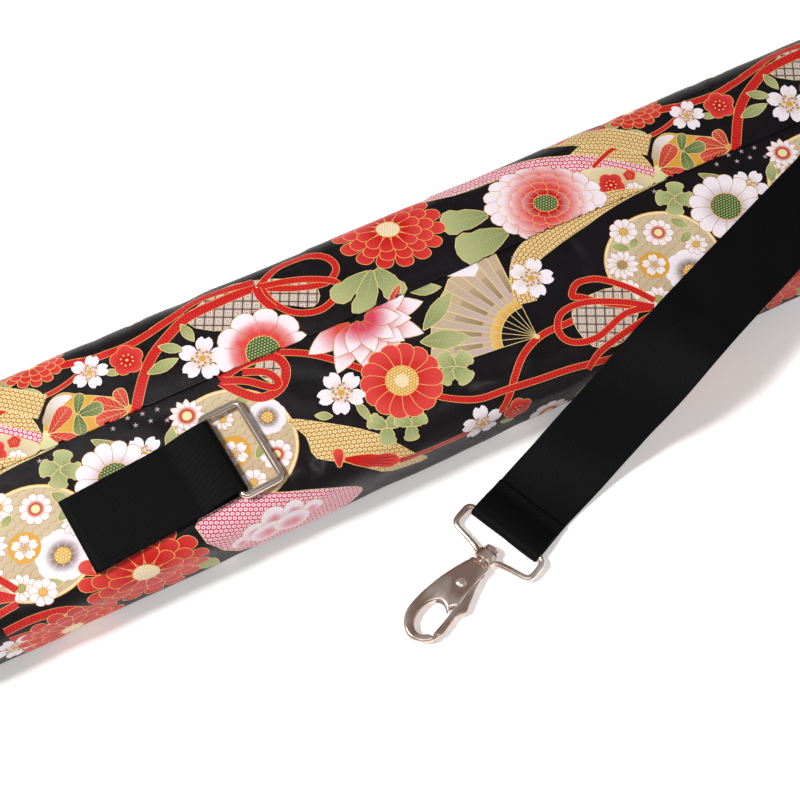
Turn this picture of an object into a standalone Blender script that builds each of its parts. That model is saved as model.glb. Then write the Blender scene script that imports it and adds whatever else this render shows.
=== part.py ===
"""Soft carrying case for a shamisen: padded printed cloth, a long zip under a fly,
two sewn tabs with rectangular rings, and a webbing shoulder strap with a swivel snap hook.

Frame: the case lies on its flat underside. +X runs from the head end to the body end,
+Y towards the rear side (the fly is hinged there), +Z up. The origin is the middle of
the underside. All lengths are in metres.
"""
import math

import bmesh
import bpy
from mathutils import Matrix, Vector

COLLECTION = "shamisen_case"
CUTTERS = "cutters"

# ---------------------------------------------------------------- driving dimensions
GAP = 0.0003                       # air kept between touching pieces
HALF_LENGTH = 0.540                # the case is 1.08 m long
HEAD_HALF_WIDTH = 0.095            # room for the tuning pegs
NECK_HALF_WIDTH = 0.061            # straight sleeve round the neck
BODY_HALF_WIDTH = 0.118            # room for the drum-shaped body
NECK_HEIGHT = 0.050
BODY_HEIGHT = 0.112
HEAD_FLARE = (-0.400, -0.330)      # x where the head pocket narrows to the sleeve
BODY_FLARE = (0.230, 0.340)        # x where the sleeve widens to the body pocket
END_ROUNDING_LENGTH = 0.045
END_ROUNDING_SIDE = 0.014
END_ROUNDING_TOP = 0.008
TOP_RADIUS = 0.015
BODY_EXTRA_RADIUS = 0.012
BOTTOM_RADIUS = 0.020

CLOTH = 0.0012
FOAM = 0.0075
TAPE = 0.0006
LINING = 0.0006
FOAM_DEPTH = CLOTH + GAP
TAPE_DEPTH = FOAM_DEPTH + FOAM + GAP
LINING_DEPTH = TAPE_DEPTH + TAPE + GAP
LINING_BACK = LINING_DEPTH + LINING

ZIP_Y = 0.027                      # centre line of the zip
CHANNEL_HALF = 0.007               # half the slot between the two cloth edges
COIL_INNER = 0.0012
COIL_OUTER = 0.0030
COIL_HEIGHT = 0.0018
TAPE_HALF = 0.019
SLIDER_X = -0.480

FLY_X = (-0.455, 0.215)
FLY_EDGE_Y = 0.012
FLY_HINGE_Y = 0.0415
FLY_HEM_Y = 0.047
FLY_THICKNESS = 0.0016

WEB_WIDTH = 0.039
WEB = 0.0014
RING_WIRE = 0.0017
RING_WIDTH = 0.0436                # centre line of the wire
RING_LENGTH = 0.0195
RING_CORNER = 0.0020

TAB_ANGLE = math.radians(4.5)
RING_1_BAR = (-0.1665, -0.0285)    # x, y of the bar that ring 1 swings on
TAB_1_LENGTH = 0.073
TAB_2_LENGTH = 0.042               # the wall below ring 2 is only 50 mm high
RING_2_BAR_Z = 0.052
STRAP_END_Y = -0.016

HOOK_BAR = Vector((-0.0565, -0.1030, 0.0044))
HOOK_HEADING = math.radians(204.0)  # direction from the strap end to the hook's tip
HOOK_WIRE = 0.0016
HOOK_LOOP_HALF = 0.0228
HOOK_COLLAR = (0.0135, 0.0188)     # along the hook from its strap bar
HOOK_THICKNESS = 0.0054
EYE_CENTRE = (0.0568, -0.0024)
EYE_OUTER = (0.0127, 0.0106)
EYE_INNER = (0.0090, 0.0058)
GATE_PIVOT = (0.0340, -0.0010)
GATE_REACH = 0.0281                # from the pivot to the end of the gate
GATE_SLOT = 0.0017                 # half the height of the slot that holds the gate
GATE_HALF = 0.0014

LAYER_STEP = 0.0019                # between two layers of webbing, middle to middle
ADJUSTER_AT = 13                   # index in STRAP_ROUTE of the adjuster's middle
ADJUSTER_BAR = 0.0044              # height of its bars above the lower webbing
# Middle of the lower layer of webbing, from the hook to ring 2: x, y, z, and bank in
# degrees (positive drops the front edge), chosen by hand.
STRAP_ROUTE = [
    (-0.0565, -0.1030, 0.0018, 0), (-0.0360, -0.0939, 0.0018, 0), (-0.0170, -0.0872, 0.0052, 6),
    (-0.0010, -0.0826, 0.0150, 18), (0.0150, -0.0790, 0.0290, 24), (0.0320, -0.0750, 0.0430, 14),
    (0.0520, -0.0680, 0.0513, 2), (0.0740, -0.0590, 0.0513, 0), (0.0960, -0.0505, 0.0513, 0),
    (0.1180, -0.0420, 0.0513, 0), (0.1400, -0.0335, 0.0513, 0), (0.1560, -0.0274, 0.0513, 0),
    (0.1720, -0.0215, 0.0513, 0), (0.1900, -0.0182, 0.0513, 0), (0.2080, -0.0163, 0.0513, 0),
    (0.2240, -0.0160, 0.0513, 0), (0.2460, -0.0160, 0.0551, 0), (0.2700, -0.0160, 0.0706, 0),
    (0.2950, -0.0160, 0.0911, 0), (0.3200, -0.0160, 0.1080, 0), (0.3450, -0.0160, 0.1140, 0),
    (0.3900, -0.0160, 0.1133, 0), (0.4400, -0.0160, 0.1133, 0), (0.4900, -0.0160, 0.1134, 0),
    (0.5050, -0.0160, 0.1132, 0), (0.5180, -0.0160, 0.1118, 0), (0.5300, -0.0160, 0.1092, 0),
    (0.5380, -0.0160, 0.1064, 0), (0.5415, -0.0160, 0.1030, 0), (0.5418, -0.0160, 0.0960, 0),
    (0.5413, -0.0160, 0.0860, 0), (0.5410, -0.0160, 0.0790, 0), (0.5410, -0.0160, 0.0715, 0),
]


# ---------------------------------------------------------------- scene helpers
def clear_scene():
    for item in list(bpy.data.objects):
        bpy.data.objects.remove(item, do_unlink=True)
    for name in (COLLECTION, CUTTERS):
        group = bpy.data.collections.get(name) or bpy.data.collections.new(name)
        if group.name not in bpy.context.scene.collection.children:
            bpy.context.scene.collection.children.link(group)


def finish(name, colour, roughness, metallic):
    material = bpy.data.materials.new(name)
    material.use_nodes = True
    shader = material.node_tree.nodes["Principled BSDF"]
    shader.inputs["Base Color"].default_value = (*colour, 1.0)
    shader.inputs["Roughness"].default_value = roughness
    shader.inputs["Metallic"].default_value = metallic
    return material


def add_mesh(name, bm, material=None, collection=COLLECTION):
    bmesh.ops.recalc_face_normals(bm, faces=bm.faces)
    mesh = bpy.data.meshes.new(name)
    bm.to_mesh(mesh)
    bm.free()
    item = bpy.data.objects.new(name, mesh)
    bpy.data.collections[collection].objects.link(item)
    if material:
        mesh.materials.append(material)
    return item


def loft(name, rings, material):
    """A closed solid through rings of equally many points, with a flat cap at each end."""
    bm = bmesh.new()
    rows = [[bm.verts.new(point) for point in ring] for ring in rings]
    count = len(rows[0])
    for here, after in zip(rows, rows[1:]):
        for i in range(count):
            j = (i + 1) % count
            bm.faces.new((here[i], here[j], after[j], after[i]))
    for row in (rows[0], rows[-1]):
        half = count // 2
        for i in range(half - 1):
            bm.faces.new((row[i], row[i + 1], row[count - 2 - i], row[count - 1 - i]))
    return add_mesh(name, bm, material)


def mesh_from_curve(curve_object, material, collection=COLLECTION):
    """Turns a curve into a closed mesh object at the same place."""
    name = curve_object.name
    graph = bpy.context.evaluated_depsgraph_get()
    mesh = bpy.data.meshes.new_from_object(curve_object.evaluated_get(graph))
    matrix = curve_object.matrix_world.copy()
    bpy.data.objects.remove(curve_object, do_unlink=True)
    bm = bmesh.new()
    bm.from_mesh(mesh)
    bmesh.ops.remove_doubles(bm, verts=bm.verts, dist=1e-6)
    bpy.data.meshes.remove(mesh)
    item = add_mesh(name, bm, material, collection)
    item.matrix_world = matrix
    return item


def plate(name, outline, thickness, material=None, collection=COLLECTION):
    """A flat outline in X and Y, thickness centred on z = 0."""
    curve = bpy.data.curves.new(name, "CURVE")
    curve.dimensions = "2D"
    curve.fill_mode = "BOTH"
    curve.extrude = thickness / 2
    spline = curve.splines.new("POLY")
    spline.points.add(len(outline) - 1)
    for point, (x, y) in zip(spline.points, outline):
        point.co = (x, y, 0.0, 1.0)
    spline.use_cyclic_u = True
    item = bpy.data.objects.new(name, curve)
    bpy.data.collections[collection].objects.link(item)
    bpy.context.view_layer.update()
    return mesh_from_curve(item, material, collection)


def wire(name, points, radius, cyclic, material, resolution=2):
    curve = bpy.data.curves.new(name, "CURVE")
    curve.dimensions = "3D"
    curve.bevel_depth = radius
    curve.bevel_resolution = resolution
    curve.use_fill_caps = True
    spline = curve.splines.new("POLY")
    spline.points.add(len(points) - 1)
    for knot, point in zip(spline.points, points):
        knot.co = (*point, 1.0)
    spline.use_cyclic_u = cyclic
    item = bpy.data.objects.new(name, curve)
    bpy.data.collections[COLLECTION].objects.link(item)
    bpy.context.view_layer.update()
    return mesh_from_curve(item, material)


def box_mesh(bm, low, high):
    size = [b - a for a, b in zip(low, high)]
    middle = [(a + b) / 2 for a, b in zip(low, high)]
    made = bmesh.ops.create_cube(bm, size=1.0)
    bmesh.ops.scale(bm, vec=size, verts=made["verts"])
    bmesh.ops.translate(bm, vec=middle, verts=made["verts"])


def box(name, low, high, material=None, collection=COLLECTION):
    bm = bmesh.new()
    box_mesh(bm, low, high)
    return add_mesh(name, bm, material, collection)


def cylinder(name, radius, z0, z1, material=None, collection=COLLECTION, sides=16):
    bm = bmesh.new()
    bmesh.ops.create_cone(bm, cap_ends=True, segments=sides, radius1=radius, radius2=radius,
                          depth=z1 - z0, matrix=Matrix.Translation((0, 0, (z0 + z1) / 2)))
    return add_mesh(name, bm, material, collection)


def turned(name, profile, material, sides=20):
    """A turned piece: (radius, height) down the outer side, spun round Z."""
    bm = bmesh.new()
    verts = [bm.verts.new((radius, 0.0, height)) for radius, height in profile]
    for a, b in zip(verts, verts[1:]):
        bm.edges.new((a, b))
    mesh = bpy.data.meshes.new(name)
    bm.to_mesh(mesh)
    bm.free()
    mesh.materials.append(material)
    item = bpy.data.objects.new(name, mesh)
    bpy.data.collections[COLLECTION].objects.link(item)
    screw = item.modifiers.new("turn", "SCREW")
    screw.steps = sides
    screw.render_steps = sides
    screw.use_merge_vertices = True
    screw.merge_threshold = 0.00001
    return item


def cut(item, cutter, operation="DIFFERENCE"):
    cutter.hide_render = True
    cutter.display_type = "WIRE"
    modifier = item.modifiers.new(cutter.name, "BOOLEAN")
    modifier.operation = operation
    modifier.object = cutter


def arc(centre, radius, start, end, steps):
    """Points on an arc, angles in degrees."""
    points = []
    for i in range(steps + 1):
        angle = math.radians(start + (end - start) * i / steps)
        points.append((centre[0] + radius * math.cos(angle), centre[1] + radius * math.sin(angle)))
    return points


def ellipse(centre, semi, steps):
    points = []
    for i in range(steps):
        angle = 2 * math.pi * i / steps
        points.append((centre[0] + semi[0] * math.cos(angle), centre[1] + semi[1] * math.sin(angle)))
    return points


def rounded_rectangle(x0, x1, y0, y1, radius, steps=4):
    return (arc((x1 - radius, y1 - radius), radius, 0, 90, steps)
            + arc((x0 + radius, y1 - radius), radius, 90, 180, steps)
            + arc((x0 + radius, y0 + radius), radius, 180, 270, steps)
            + arc((x1 - radius, y0 + radius), radius, 270, 360, steps))


# ---------------------------------------------------------------- outline of the case
def ease(x, span):
    t = min(max((x - span[0]) / (span[1] - span[0]), 0.0), 1.0)
    return t * t * (3 - 2 * t)


def end_rounding(x, amount):
    t = max(0.0, 1 - (HALF_LENGTH - abs(x)) / END_ROUNDING_LENGTH)
    return amount * t * t


def half_width(x):
    width = HEAD_HALF_WIDTH + (NECK_HALF_WIDTH - HEAD_HALF_WIDTH) * ease(x, HEAD_FLARE)
    width += (BODY_HALF_WIDTH - NECK_HALF_WIDTH) * ease(x, BODY_FLARE)
    return width - end_rounding(x, END_ROUNDING_SIDE)


def height(x):
    tall = NECK_HEIGHT + (BODY_HEIGHT - NECK_HEIGHT) * ease(x, BODY_FLARE)
    return tall - end_rounding(x, END_ROUNDING_TOP)


def top_radius(x):
    return TOP_RADIUS + BODY_EXTRA_RADIUS * ease(x, BODY_FLARE)


def stations(start, end):
    """Section places along X: close together where the outline bends."""
    marks = [-0.540, -0.530, -0.518, -0.505, -0.490]
    marks += [HEAD_FLARE[0] + (HEAD_FLARE[1] - HEAD_FLARE[0]) * i / 5 for i in range(6)]
    marks += [-0.140, 0.045]
    marks += [BODY_FLARE[0] + (BODY_FLARE[1] - BODY_FLARE[0]) * i / 8 for i in range(9)]
    marks += [0.420, 0.490, 0.505, 0.518, 0.530, 0.540]
    inside = [x for x in marks if start + 0.002 < x < end - 0.002]
    return [start] + inside + [end]


def side_outline(x, side, depth):
    """(y, z) from the zip slot over the shoulder and down to the underside's seam."""
    wide, tall, top, low = half_width(x), height(x), top_radius(x), BOTTOM_RADIUS
    slot = ZIP_Y + side * CHANNEL_HALF
    shoulder = side * (wide - top)
    points = [(slot + (shoulder - slot) * i / 3, tall - depth) for i in range(3)]
    for y, z in arc((wide - top, tall - top), top - depth, 90, 0, 4):
        points.append((side * y, z))
    for y, z in arc((wide - low, low), low - depth, 0, -90, 4):
        points.append((side * y, z))
    return points


def wall(name, side, outer, inner, start, end, material):
    """One layer of the front (side -1) or rear (side +1) wall."""
    rings = []
    for x in stations(start, end):
        face = side_outline(x, side, outer)
        back = side_outline(x, side, inner)
        rings.append([(x, y, z) for y, z in face + back[::-1]])
    return loft(name, rings, material)


def whole_outline(x, depth):
    front = side_outline(x, -1, depth)
    rear = side_outline(x, 1, depth)
    return [(x, y, z) for y, z in front + rear[::-1]]


def end_piece(name, start, end, depth, material):
    return loft(name, [whole_outline(start, depth), whole_outline(end, depth)], material)


def floor_piece(name, low, high, start, end, material):
    """One flat layer of the underside, z from low to high."""
    places = stations(start, end)
    edge = [(x, half_width(x) - BOTTOM_RADIUS - GAP) for x in places]
    outline = [(x, -y) for x, y in edge] + [(x, y) for x, y in reversed(edge)]
    item = plate(name, outline, high - low, material)
    item.location.z = (low + high) / 2
    return item


# ---------------------------------------------------------------- the padded shell
def build_shell():
    printed = finish("printed_cloth", (0.030, 0.022, 0.026), 0.42, 0.0)
    foam = finish("foam", (0.72, 0.70, 0.64), 0.9, 0.0)
    lining = finish("lining", (0.20, 0.02, 0.03), 0.7, 0.0)
    end = HALF_LENGTH
    inner_end = end - 0.0005 - CLOTH - GAP - FOAM - GAP - LINING - GAP
    for side, word in ((-1, "front"), (1, "rear")):
        wall(word + "_panel", side, 0.0, CLOTH, -end, end, printed)
        wall(word + "_foam", side, FOAM_DEPTH, FOAM_DEPTH + FOAM, -inner_end, inner_end, foam)
        wall(word + "_lining", side, LINING_DEPTH, LINING_BACK, -inner_end, inner_end, lining)
    floor_piece("bottom_panel", 0.0, CLOTH, -end, end, printed)
    floor_piece("bottom_foam", FOAM_DEPTH, FOAM_DEPTH + FOAM, -inner_end, inner_end, foam)
    floor_piece("bottom_lining", LINING_DEPTH, LINING_BACK, -inner_end, inner_end, lining)
    for sign, word in ((-1, "head_end"), (1, "body_end")):
        layer = end - 0.0005
        for suffix, thickness, material in (("_panel", CLOTH, printed), ("_foam", FOAM, foam),
                                            ("_lining", LINING, lining)):
            end_piece(word + suffix, sign * layer, sign * (layer - thickness), FOAM_DEPTH, material)
            layer -= thickness + GAP
    return inner_end


# ---------------------------------------------------------------- the zip and its fly
def strip_rings(y0, y1, depth0, depth1, start, end):
    rings = []
    for x in stations(start, end):
        top = height(x)
        rings.append([(x, y0, top - depth0), (x, y1, top - depth0),
                      (x, y1, top - depth1), (x, y0, top - depth1)])
    return rings


def build_zip(inner_end):
    tape = finish("zip_tape", (0.012, 0.012, 0.013), 0.75, 0.0)
    coil = finish("zip_teeth", (0.02, 0.02, 0.022), 0.4, 0.0)
    metal = finish("zip_metal", (0.62, 0.57, 0.52), 0.25, 1.0)
    reach = inner_end - 0.001
    for side, word in ((-1, "front"), (1, "rear")):
        near = ZIP_Y + side * (COIL_INNER + 0.0002)
        far = ZIP_Y + side * TAPE_HALF
        loft("zip_tape_" + word, strip_rings(near, far, TAPE_DEPTH, TAPE_DEPTH + TAPE, -reach, reach), tape)
        near = ZIP_Y + side * COIL_INNER
        far = ZIP_Y + side * COIL_OUTER
        low = TAPE_DEPTH - GAP
        loft("zip_teeth_" + word, strip_rings(near, far, low - COIL_HEIGHT, low, -0.502, 0.515), coil)
    build_stops(metal)
    build_slider(metal)


def build_stops(metal):
    """A small clip across both tapes, just past each end of the teeth."""
    for name, x in (("zip_head_stop", -0.5055), ("zip_body_stop", 0.5185)):
        top = height(x) - 0.0072
        box(name, (x - 0.0016, ZIP_Y - 0.0034, top - 0.0014), (x + 0.0016, ZIP_Y + 0.0034, top), metal)


def build_slider(metal):
    """Origin of the slider and the pull: the cross bar of the pull, under the crown."""
    top = NECK_HEIGHT
    place = Vector((SLIDER_X, ZIP_Y, top - 0.0050))

    def level(depth):
        return 0.0050 - depth

    slider = box("zip_slider", (-0.007, -0.005, level(0.0069)), (0.007, 0.005, level(0.0060)), metal)
    parts = [((-0.007, -0.005, level(0.0111)), (0.007, 0.005, level(0.0102))),
             ((-0.0069, -0.0009, level(0.0105)), (-0.0042, 0.0009, level(0.0065))),
             ((-0.0068, -0.0049, level(0.0088)), (0.0068, -0.0040, level(0.0065))),
             ((-0.0068, 0.0040, level(0.0088)), (0.0068, 0.0049, level(0.0065))),
             ((-0.0044, -0.0008, level(0.0063)), (-0.0034, 0.0008, level(0.0034))),
             ((0.0034, -0.0008, level(0.0063)), (0.0044, 0.0008, level(0.0034))),
             ((-0.0043, -0.0008, level(0.0041)), (0.0043, 0.0008, level(0.0030)))]
    for i, (low, high) in enumerate(parts):
        cut(slider, box("slider_part_%d" % i, low, high, None, CUTTERS), "UNION")
    pull = plate("zip_pull", rounded_rectangle(-0.0245, 0.0006, -0.0034, 0.0034, 0.0005, 2), 0.0012, metal)
    hole = box("pull_hole", (-0.0062, -0.0016, -0.002), (-0.0006, 0.0016, 0.002), None, CUTTERS)
    cut(pull, hole)
    anchor = bpy.data.objects.new("zip_slider_place", None)
    anchor.location = place
    bpy.data.collections[CUTTERS].objects.link(anchor)
    for item in [slider, pull, hole] + [bpy.data.objects["slider_part_%d" % i] for i in range(len(parts))]:
        item.parent = anchor


def build_fly():
    printed = bpy.data.materials["printed_cloth"]
    low = NECK_HEIGHT + GAP
    high = low + FLY_THICKNESS
    fly = box("zip_fly", (FLY_X[0], FLY_EDGE_Y - FLY_HINGE_Y, -FLY_THICKNESS),
              (FLY_X[1], 0.0, 0.0), printed)
    fly.location = (0.0, FLY_HINGE_Y, high)
    box("fly_hem", (FLY_X[0], FLY_HINGE_Y + 0.0005, low), (FLY_X[1], FLY_HEM_Y, high), printed)


# ---------------------------------------------------------------- tabs and rings
def ribbon(name, path, thickness, width, material):
    """Webbing through (middle, width direction) pairs, Solidify giving its thickness."""
    bm = bmesh.new()
    rows = []
    for middle, across in path:
        rows.append((bm.verts.new(middle - across * width / 2), bm.verts.new(middle + across * width / 2)))
    for here, after in zip(rows, rows[1:]):
        bm.faces.new((here[0], here[1], after[1], after[0]))
    mesh = bpy.data.meshes.new(name)
    bm.to_mesh(mesh)
    bm.free()
    mesh.materials.append(material)
    item = bpy.data.objects.new(name, mesh)
    bpy.data.collections[COLLECTION].objects.link(item)
    solid = item.modifiers.new("thickness", "SOLIDIFY")
    solid.thickness = thickness
    solid.offset = 0.0
    solid.use_even_offset = True
    return item


def ring_loop():
    """Rectangular ring, its hinge bar on the local Y axis, the ring reaching to +X."""
    flat = rounded_rectangle(0.0, RING_LENGTH, -RING_WIDTH / 2, RING_WIDTH / 2, RING_CORNER, 5)
    return [Vector((x, y, 0.0)) for x, y in flat]


def tab_path(wrap, length, floor):
    """Local path of a doubled tab round the bar at the origin, sewn end towards -X."""
    points = [Vector((-length, 0, floor)), Vector((-0.006, 0, floor))]
    for i in range(9):
        angle = math.radians(-90 + 22.5 * i)
        points.append(Vector((wrap * math.cos(angle), 0, wrap * math.sin(angle))))
    upper = floor + WEB + GAP
    points += [Vector((-0.004, 0, wrap * 0.97)), Vector((-0.010, 0, wrap * 0.62)),
               Vector((-0.018, 0, upper + 0.0002)), Vector((-0.024, 0, upper)), Vector((-length, 0, upper))]
    return points


def build_tab(word, place, turn, tilt, length, black, metal):
    """A tab and its ring. place is the bar's middle, turn the frame of the tab."""
    wrap = RING_WIRE + GAP + WEB / 2
    local = tab_path(wrap, length, -wrap)
    across = turn @ Vector((0, 1, 0))
    path = [(place + turn @ point, across) for point in local]
    ribbon("ring_tab_" + word, path, WEB, WEB_WIDTH, black)
    ring = wire("ring_" + word, ring_loop(), RING_WIRE, True, metal, 2)
    ring.matrix_world = Matrix.Translation(place) @ turn.to_4x4() @ Matrix.Rotation(tilt, 4, "Y")


def build_tabs():
    black = finish("webbing", (0.010, 0.010, 0.011), 0.6, 0.0)
    metal = finish("ring_metal", (0.72, 0.67, 0.62), 0.12, 1.0)
    lift = RING_WIRE + 2 * GAP + WEB
    place = Vector((RING_1_BAR[0], RING_1_BAR[1], NECK_HEIGHT + lift))
    build_tab("1", place, Matrix.Rotation(TAB_ANGLE, 3, "Z"), math.radians(3), TAB_1_LENGTH, black, metal)
    # Tab 2 stands on the body end: its sewn end points down, its ring up the wall.
    place = Vector((HALF_LENGTH + lift, STRAP_END_Y, RING_2_BAR_Z))
    up_the_wall = Matrix(((0, 0, 1), (0, -1, 0), (1, 0, 0)))
    build_tab("2", place, up_the_wall, 0.0, TAB_2_LENGTH, black, metal)
    return black, metal


# ---------------------------------------------------------------- the shoulder strap
def route_frames():
    """Middle, along, across, up and route place, at every point of the strap's smooth route."""
    knots = [Vector(point[:3]) for point in STRAP_ROUTE]
    banks = [math.radians(point[3]) for point in STRAP_ROUTE]
    last = len(knots) - 1
    samples = []
    for i in range(last):
        a, b = knots[max(i - 1, 0)], knots[i]
        c, d = knots[i + 1], knots[min(i + 2, last)]
        for step in range(2):
            t = step / 2
            middle = 0.5 * (2 * b + (c - a) * t + (2 * a - 5 * b + 4 * c - d) * t * t
                            + (3 * b - a - 3 * c + d) * t ** 3)
            samples.append((middle, banks[i] + (banks[i + 1] - banks[i]) * t, i + t))
    samples.append((knots[-1], banks[-1], float(last)))
    frames = []
    for n, (middle, bank, place) in enumerate(samples):
        along = samples[min(n + 1, len(samples) - 1)][0] - samples[max(n - 1, 0)][0]
        along.normalize()
        across = Vector((-along.y, along.x, 0.0))
        across = Vector((0, 1, 0)) if across.length < 0.3 else across.normalized()
        across = (Matrix.Rotation(bank, 3, along) @ across).normalized()
        frames.append((middle, along, across, along.cross(across).normalized(), place))
    return frames


def near(frame, forward, rise):
    middle, along, across, up, _ = frame
    return (middle + along * forward + up * rise, across)


def round_bar(frame, forward, rise, radius, start, end, steps):
    """An arc of webbing round a bar of the frame, in degrees from along towards up."""
    path = []
    for i in range(steps + 1):
        angle = math.radians(start + (end - start) * i / steps)
        path.append(near(frame, forward + radius * math.cos(angle), rise + radius * math.sin(angle)))
    return path


def hook_end_path():
    """From the main layer, round the hook's strap bar, to the sewn tail above it."""
    along = Vector((-math.cos(HOOK_HEADING), -math.sin(HOOK_HEADING), 0.0))
    up = Vector((0, 0, 1))
    bar = (HOOK_BAR, along, up.cross(along), up, 0.0)
    wrap = HOOK_WIRE + GAP + WEB / 2
    tail = LAYER_STEP - wrap
    path = [near(bar, 0.0080, -wrap)]
    path += round_bar(bar, 0.0, 0.0, wrap, 270, 90, 8)
    path += [near(bar, 0.0040, wrap * 0.94), near(bar, 0.0090, wrap * 0.55),
             near(bar, 0.0150, tail + 0.0003), near(bar, 0.0200, tail)]
    return path


def adjuster_loop_path(frame):
    """The sewn loop round the adjuster's middle bar, then down to the lower layer."""
    path = [near(frame, 0.0035, 0.0024), near(frame, 0.0012, 0.0024)]
    path += round_bar(frame, -0.0008, ADJUSTER_BAR, 0.0020, -90, -270, 6)
    path += [near(frame, 0.0010, 0.00645), near(frame, 0.0025, 0.0060), near(frame, 0.0040, 0.0049),
             near(frame, 0.0060, 0.0031), near(frame, 0.0090, 0.0010), near(frame, 0.0120, 0.0001)]
    return path


def adjuster_over_path(frame):
    """The running layer: under one bar, over the middle bar, under the other."""
    marks = [(0.0160, 0.0020), (0.0125, 0.0021), (0.0095, 0.0029), (0.0060, 0.0055), (0.0030, 0.0077),
             (0.0, 0.0084), (-0.0030, 0.0077), (-0.0060, 0.0054), (-0.0095, 0.0028), (-0.0125, 0.0020),
             (-0.0160, 0.0014), (-0.0220, 0.0003)]
    return [near(frame, forward, rise) for forward, rise in marks]


def build_strap(black):
    frames = route_frames()
    centre = next(frame for frame in frames if frame[4] == ADJUSTER_AT)
    beyond = [frame for frame in frames if frame[4] >= ADJUSTER_AT + 1]
    before = [frame for frame in frames if 1 <= frame[4] <= ADJUSTER_AT - 1.5]
    wrap = RING_WIRE + GAP + WEB / 2
    path = adjuster_loop_path(centre)
    path += [near(frame, 0.0, 0.0) for frame in beyond]
    path += round_bar(beyond[-1], 0.0, wrap, wrap, -67.5, 67.5, 6)
    for frame in reversed(beyond):
        to_ring = max(0.0, (frame[4] - len(STRAP_ROUTE) + 1) / 4 + 1)
        spread = 2 * wrap - LAYER_STEP
        path.append(near(frame, 0.0, LAYER_STEP + spread * to_ring * to_ring * (3 - 2 * to_ring)))
    path += adjuster_over_path(centre)
    path += [near(frame, 0.0, 0.0) for frame in reversed(before)]
    path += hook_end_path()
    ribbon("shoulder_strap", path, WEB, WEB_WIDTH, black)
    return centre


def build_adjuster(frame, metal):
    outline = rounded_rectangle(-0.014, 0.014, -0.0230, 0.0230, 0.004, 3)
    body = plate("strap_adjuster", outline, 0.0020, metal)
    middle, along, across, up, _ = frame
    turn = Matrix((along, across, up)).transposed().to_4x4()
    body.matrix_world = Matrix.Translation(middle + up * ADJUSTER_BAR) @ turn
    for i, (low, high) in enumerate(((-0.011, -0.0015), (0.0015, 0.011))):
        slot = box("adjuster_slot_%d" % i, (low, -0.0203, -0.01), (high, 0.0203, 0.01), None, CUTTERS)
        slot.matrix_world = body.matrix_world.copy()
        cut(body, slot)


# ---------------------------------------------------------------- the snap hook
def place_on_hook(item, forward=0.0, sideways=0.0, up=0.0, along=False):
    """Puts a piece in the hook's frame: +X to the tip, +Y to the gate's side, +Z up."""
    matrix = Matrix.Translation(HOOK_BAR) @ Matrix.Rotation(HOOK_HEADING, 4, "Z")
    matrix = matrix @ Matrix.Translation((forward, sideways, up))
    if along:
        matrix = matrix @ Matrix.Rotation(math.radians(90), 4, "Y")
    item.matrix_world = matrix
    return item


def loop_points():
    """Strap bar, two long arms, and shoulders that curve in to the collar."""
    half, corner, reach, inner = HOOK_LOOP_HALF, 0.0022, 0.0108, 0.0045
    points = arc((corner, half - corner), corner, 180, 90, 4)
    for i in range(9):
        t = i / 8
        points.append((reach + (0.0162 - reach) * t,
                       inner + (half - inner) * 0.5 * (1 + math.cos(math.pi * t ** 1.15))))
    mirrored = [(x, -y) for x, y in reversed(points)]
    return [Vector((x, y, 0.0)) for x, y in mirrored + points]


def build_hook_base(metal):
    base = wire("hook_base", loop_points(), HOOK_WIRE, False, metal, 2)
    place_on_hook(base)
    collar = cylinder("collar", 0.0041, HOOK_COLLAR[0], HOOK_COLLAR[1], None, CUTTERS)
    collar.data.transform(Matrix.Diagonal((1.0, 1.38, 1.0, 1.0)))
    cut(base, place_on_hook(collar, along=True), "UNION")
    bore = cylinder("collar_bore", 0.0027, 0.008, 0.026, None, CUTTERS)
    cut(base, place_on_hook(bore, along=True))


def build_hook_post(metal):
    profile = [(0.0, 0.0198), (0.0036, 0.0198), (0.0036, 0.0192), (0.0023, 0.0192), (0.0023, 0.0131),
               (0.0037, 0.0131), (0.0042, 0.0125), (0.0040, 0.0110), (0.0028, 0.0101), (0.0, 0.0099)]
    place_on_hook(turned("hook_post", profile, metal), along=True)


def hook_front(x):
    """Outer edge of the hook on the gate's side; the eye's outline past its middle."""
    across = max(0.0, (x - EYE_CENTRE[0]) / EYE_OUTER[0])
    straight = 0.0054 + 0.0028 * min(1.0, (x - 0.0214) / (EYE_CENTRE[0] - 0.0214))
    return EYE_CENTRE[1] + (straight - EYE_CENTRE[1]) * math.sqrt(max(0.0, 1 - across * across))


def hook_back(x):
    across = max(0.0, (x - EYE_CENTRE[0]) / EYE_OUTER[0])
    straight = 0.0054 + (EYE_OUTER[1] - EYE_CENTRE[1] - 0.0054) * math.sin(
        0.5 * math.pi * min(1.0, (x - 0.0214) / (EYE_CENTRE[0] - 0.0214)) ** 0.9)
    return EYE_CENTRE[1] - (straight + EYE_CENTRE[1]) * math.sqrt(max(0.0, 1 - across * across))


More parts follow.
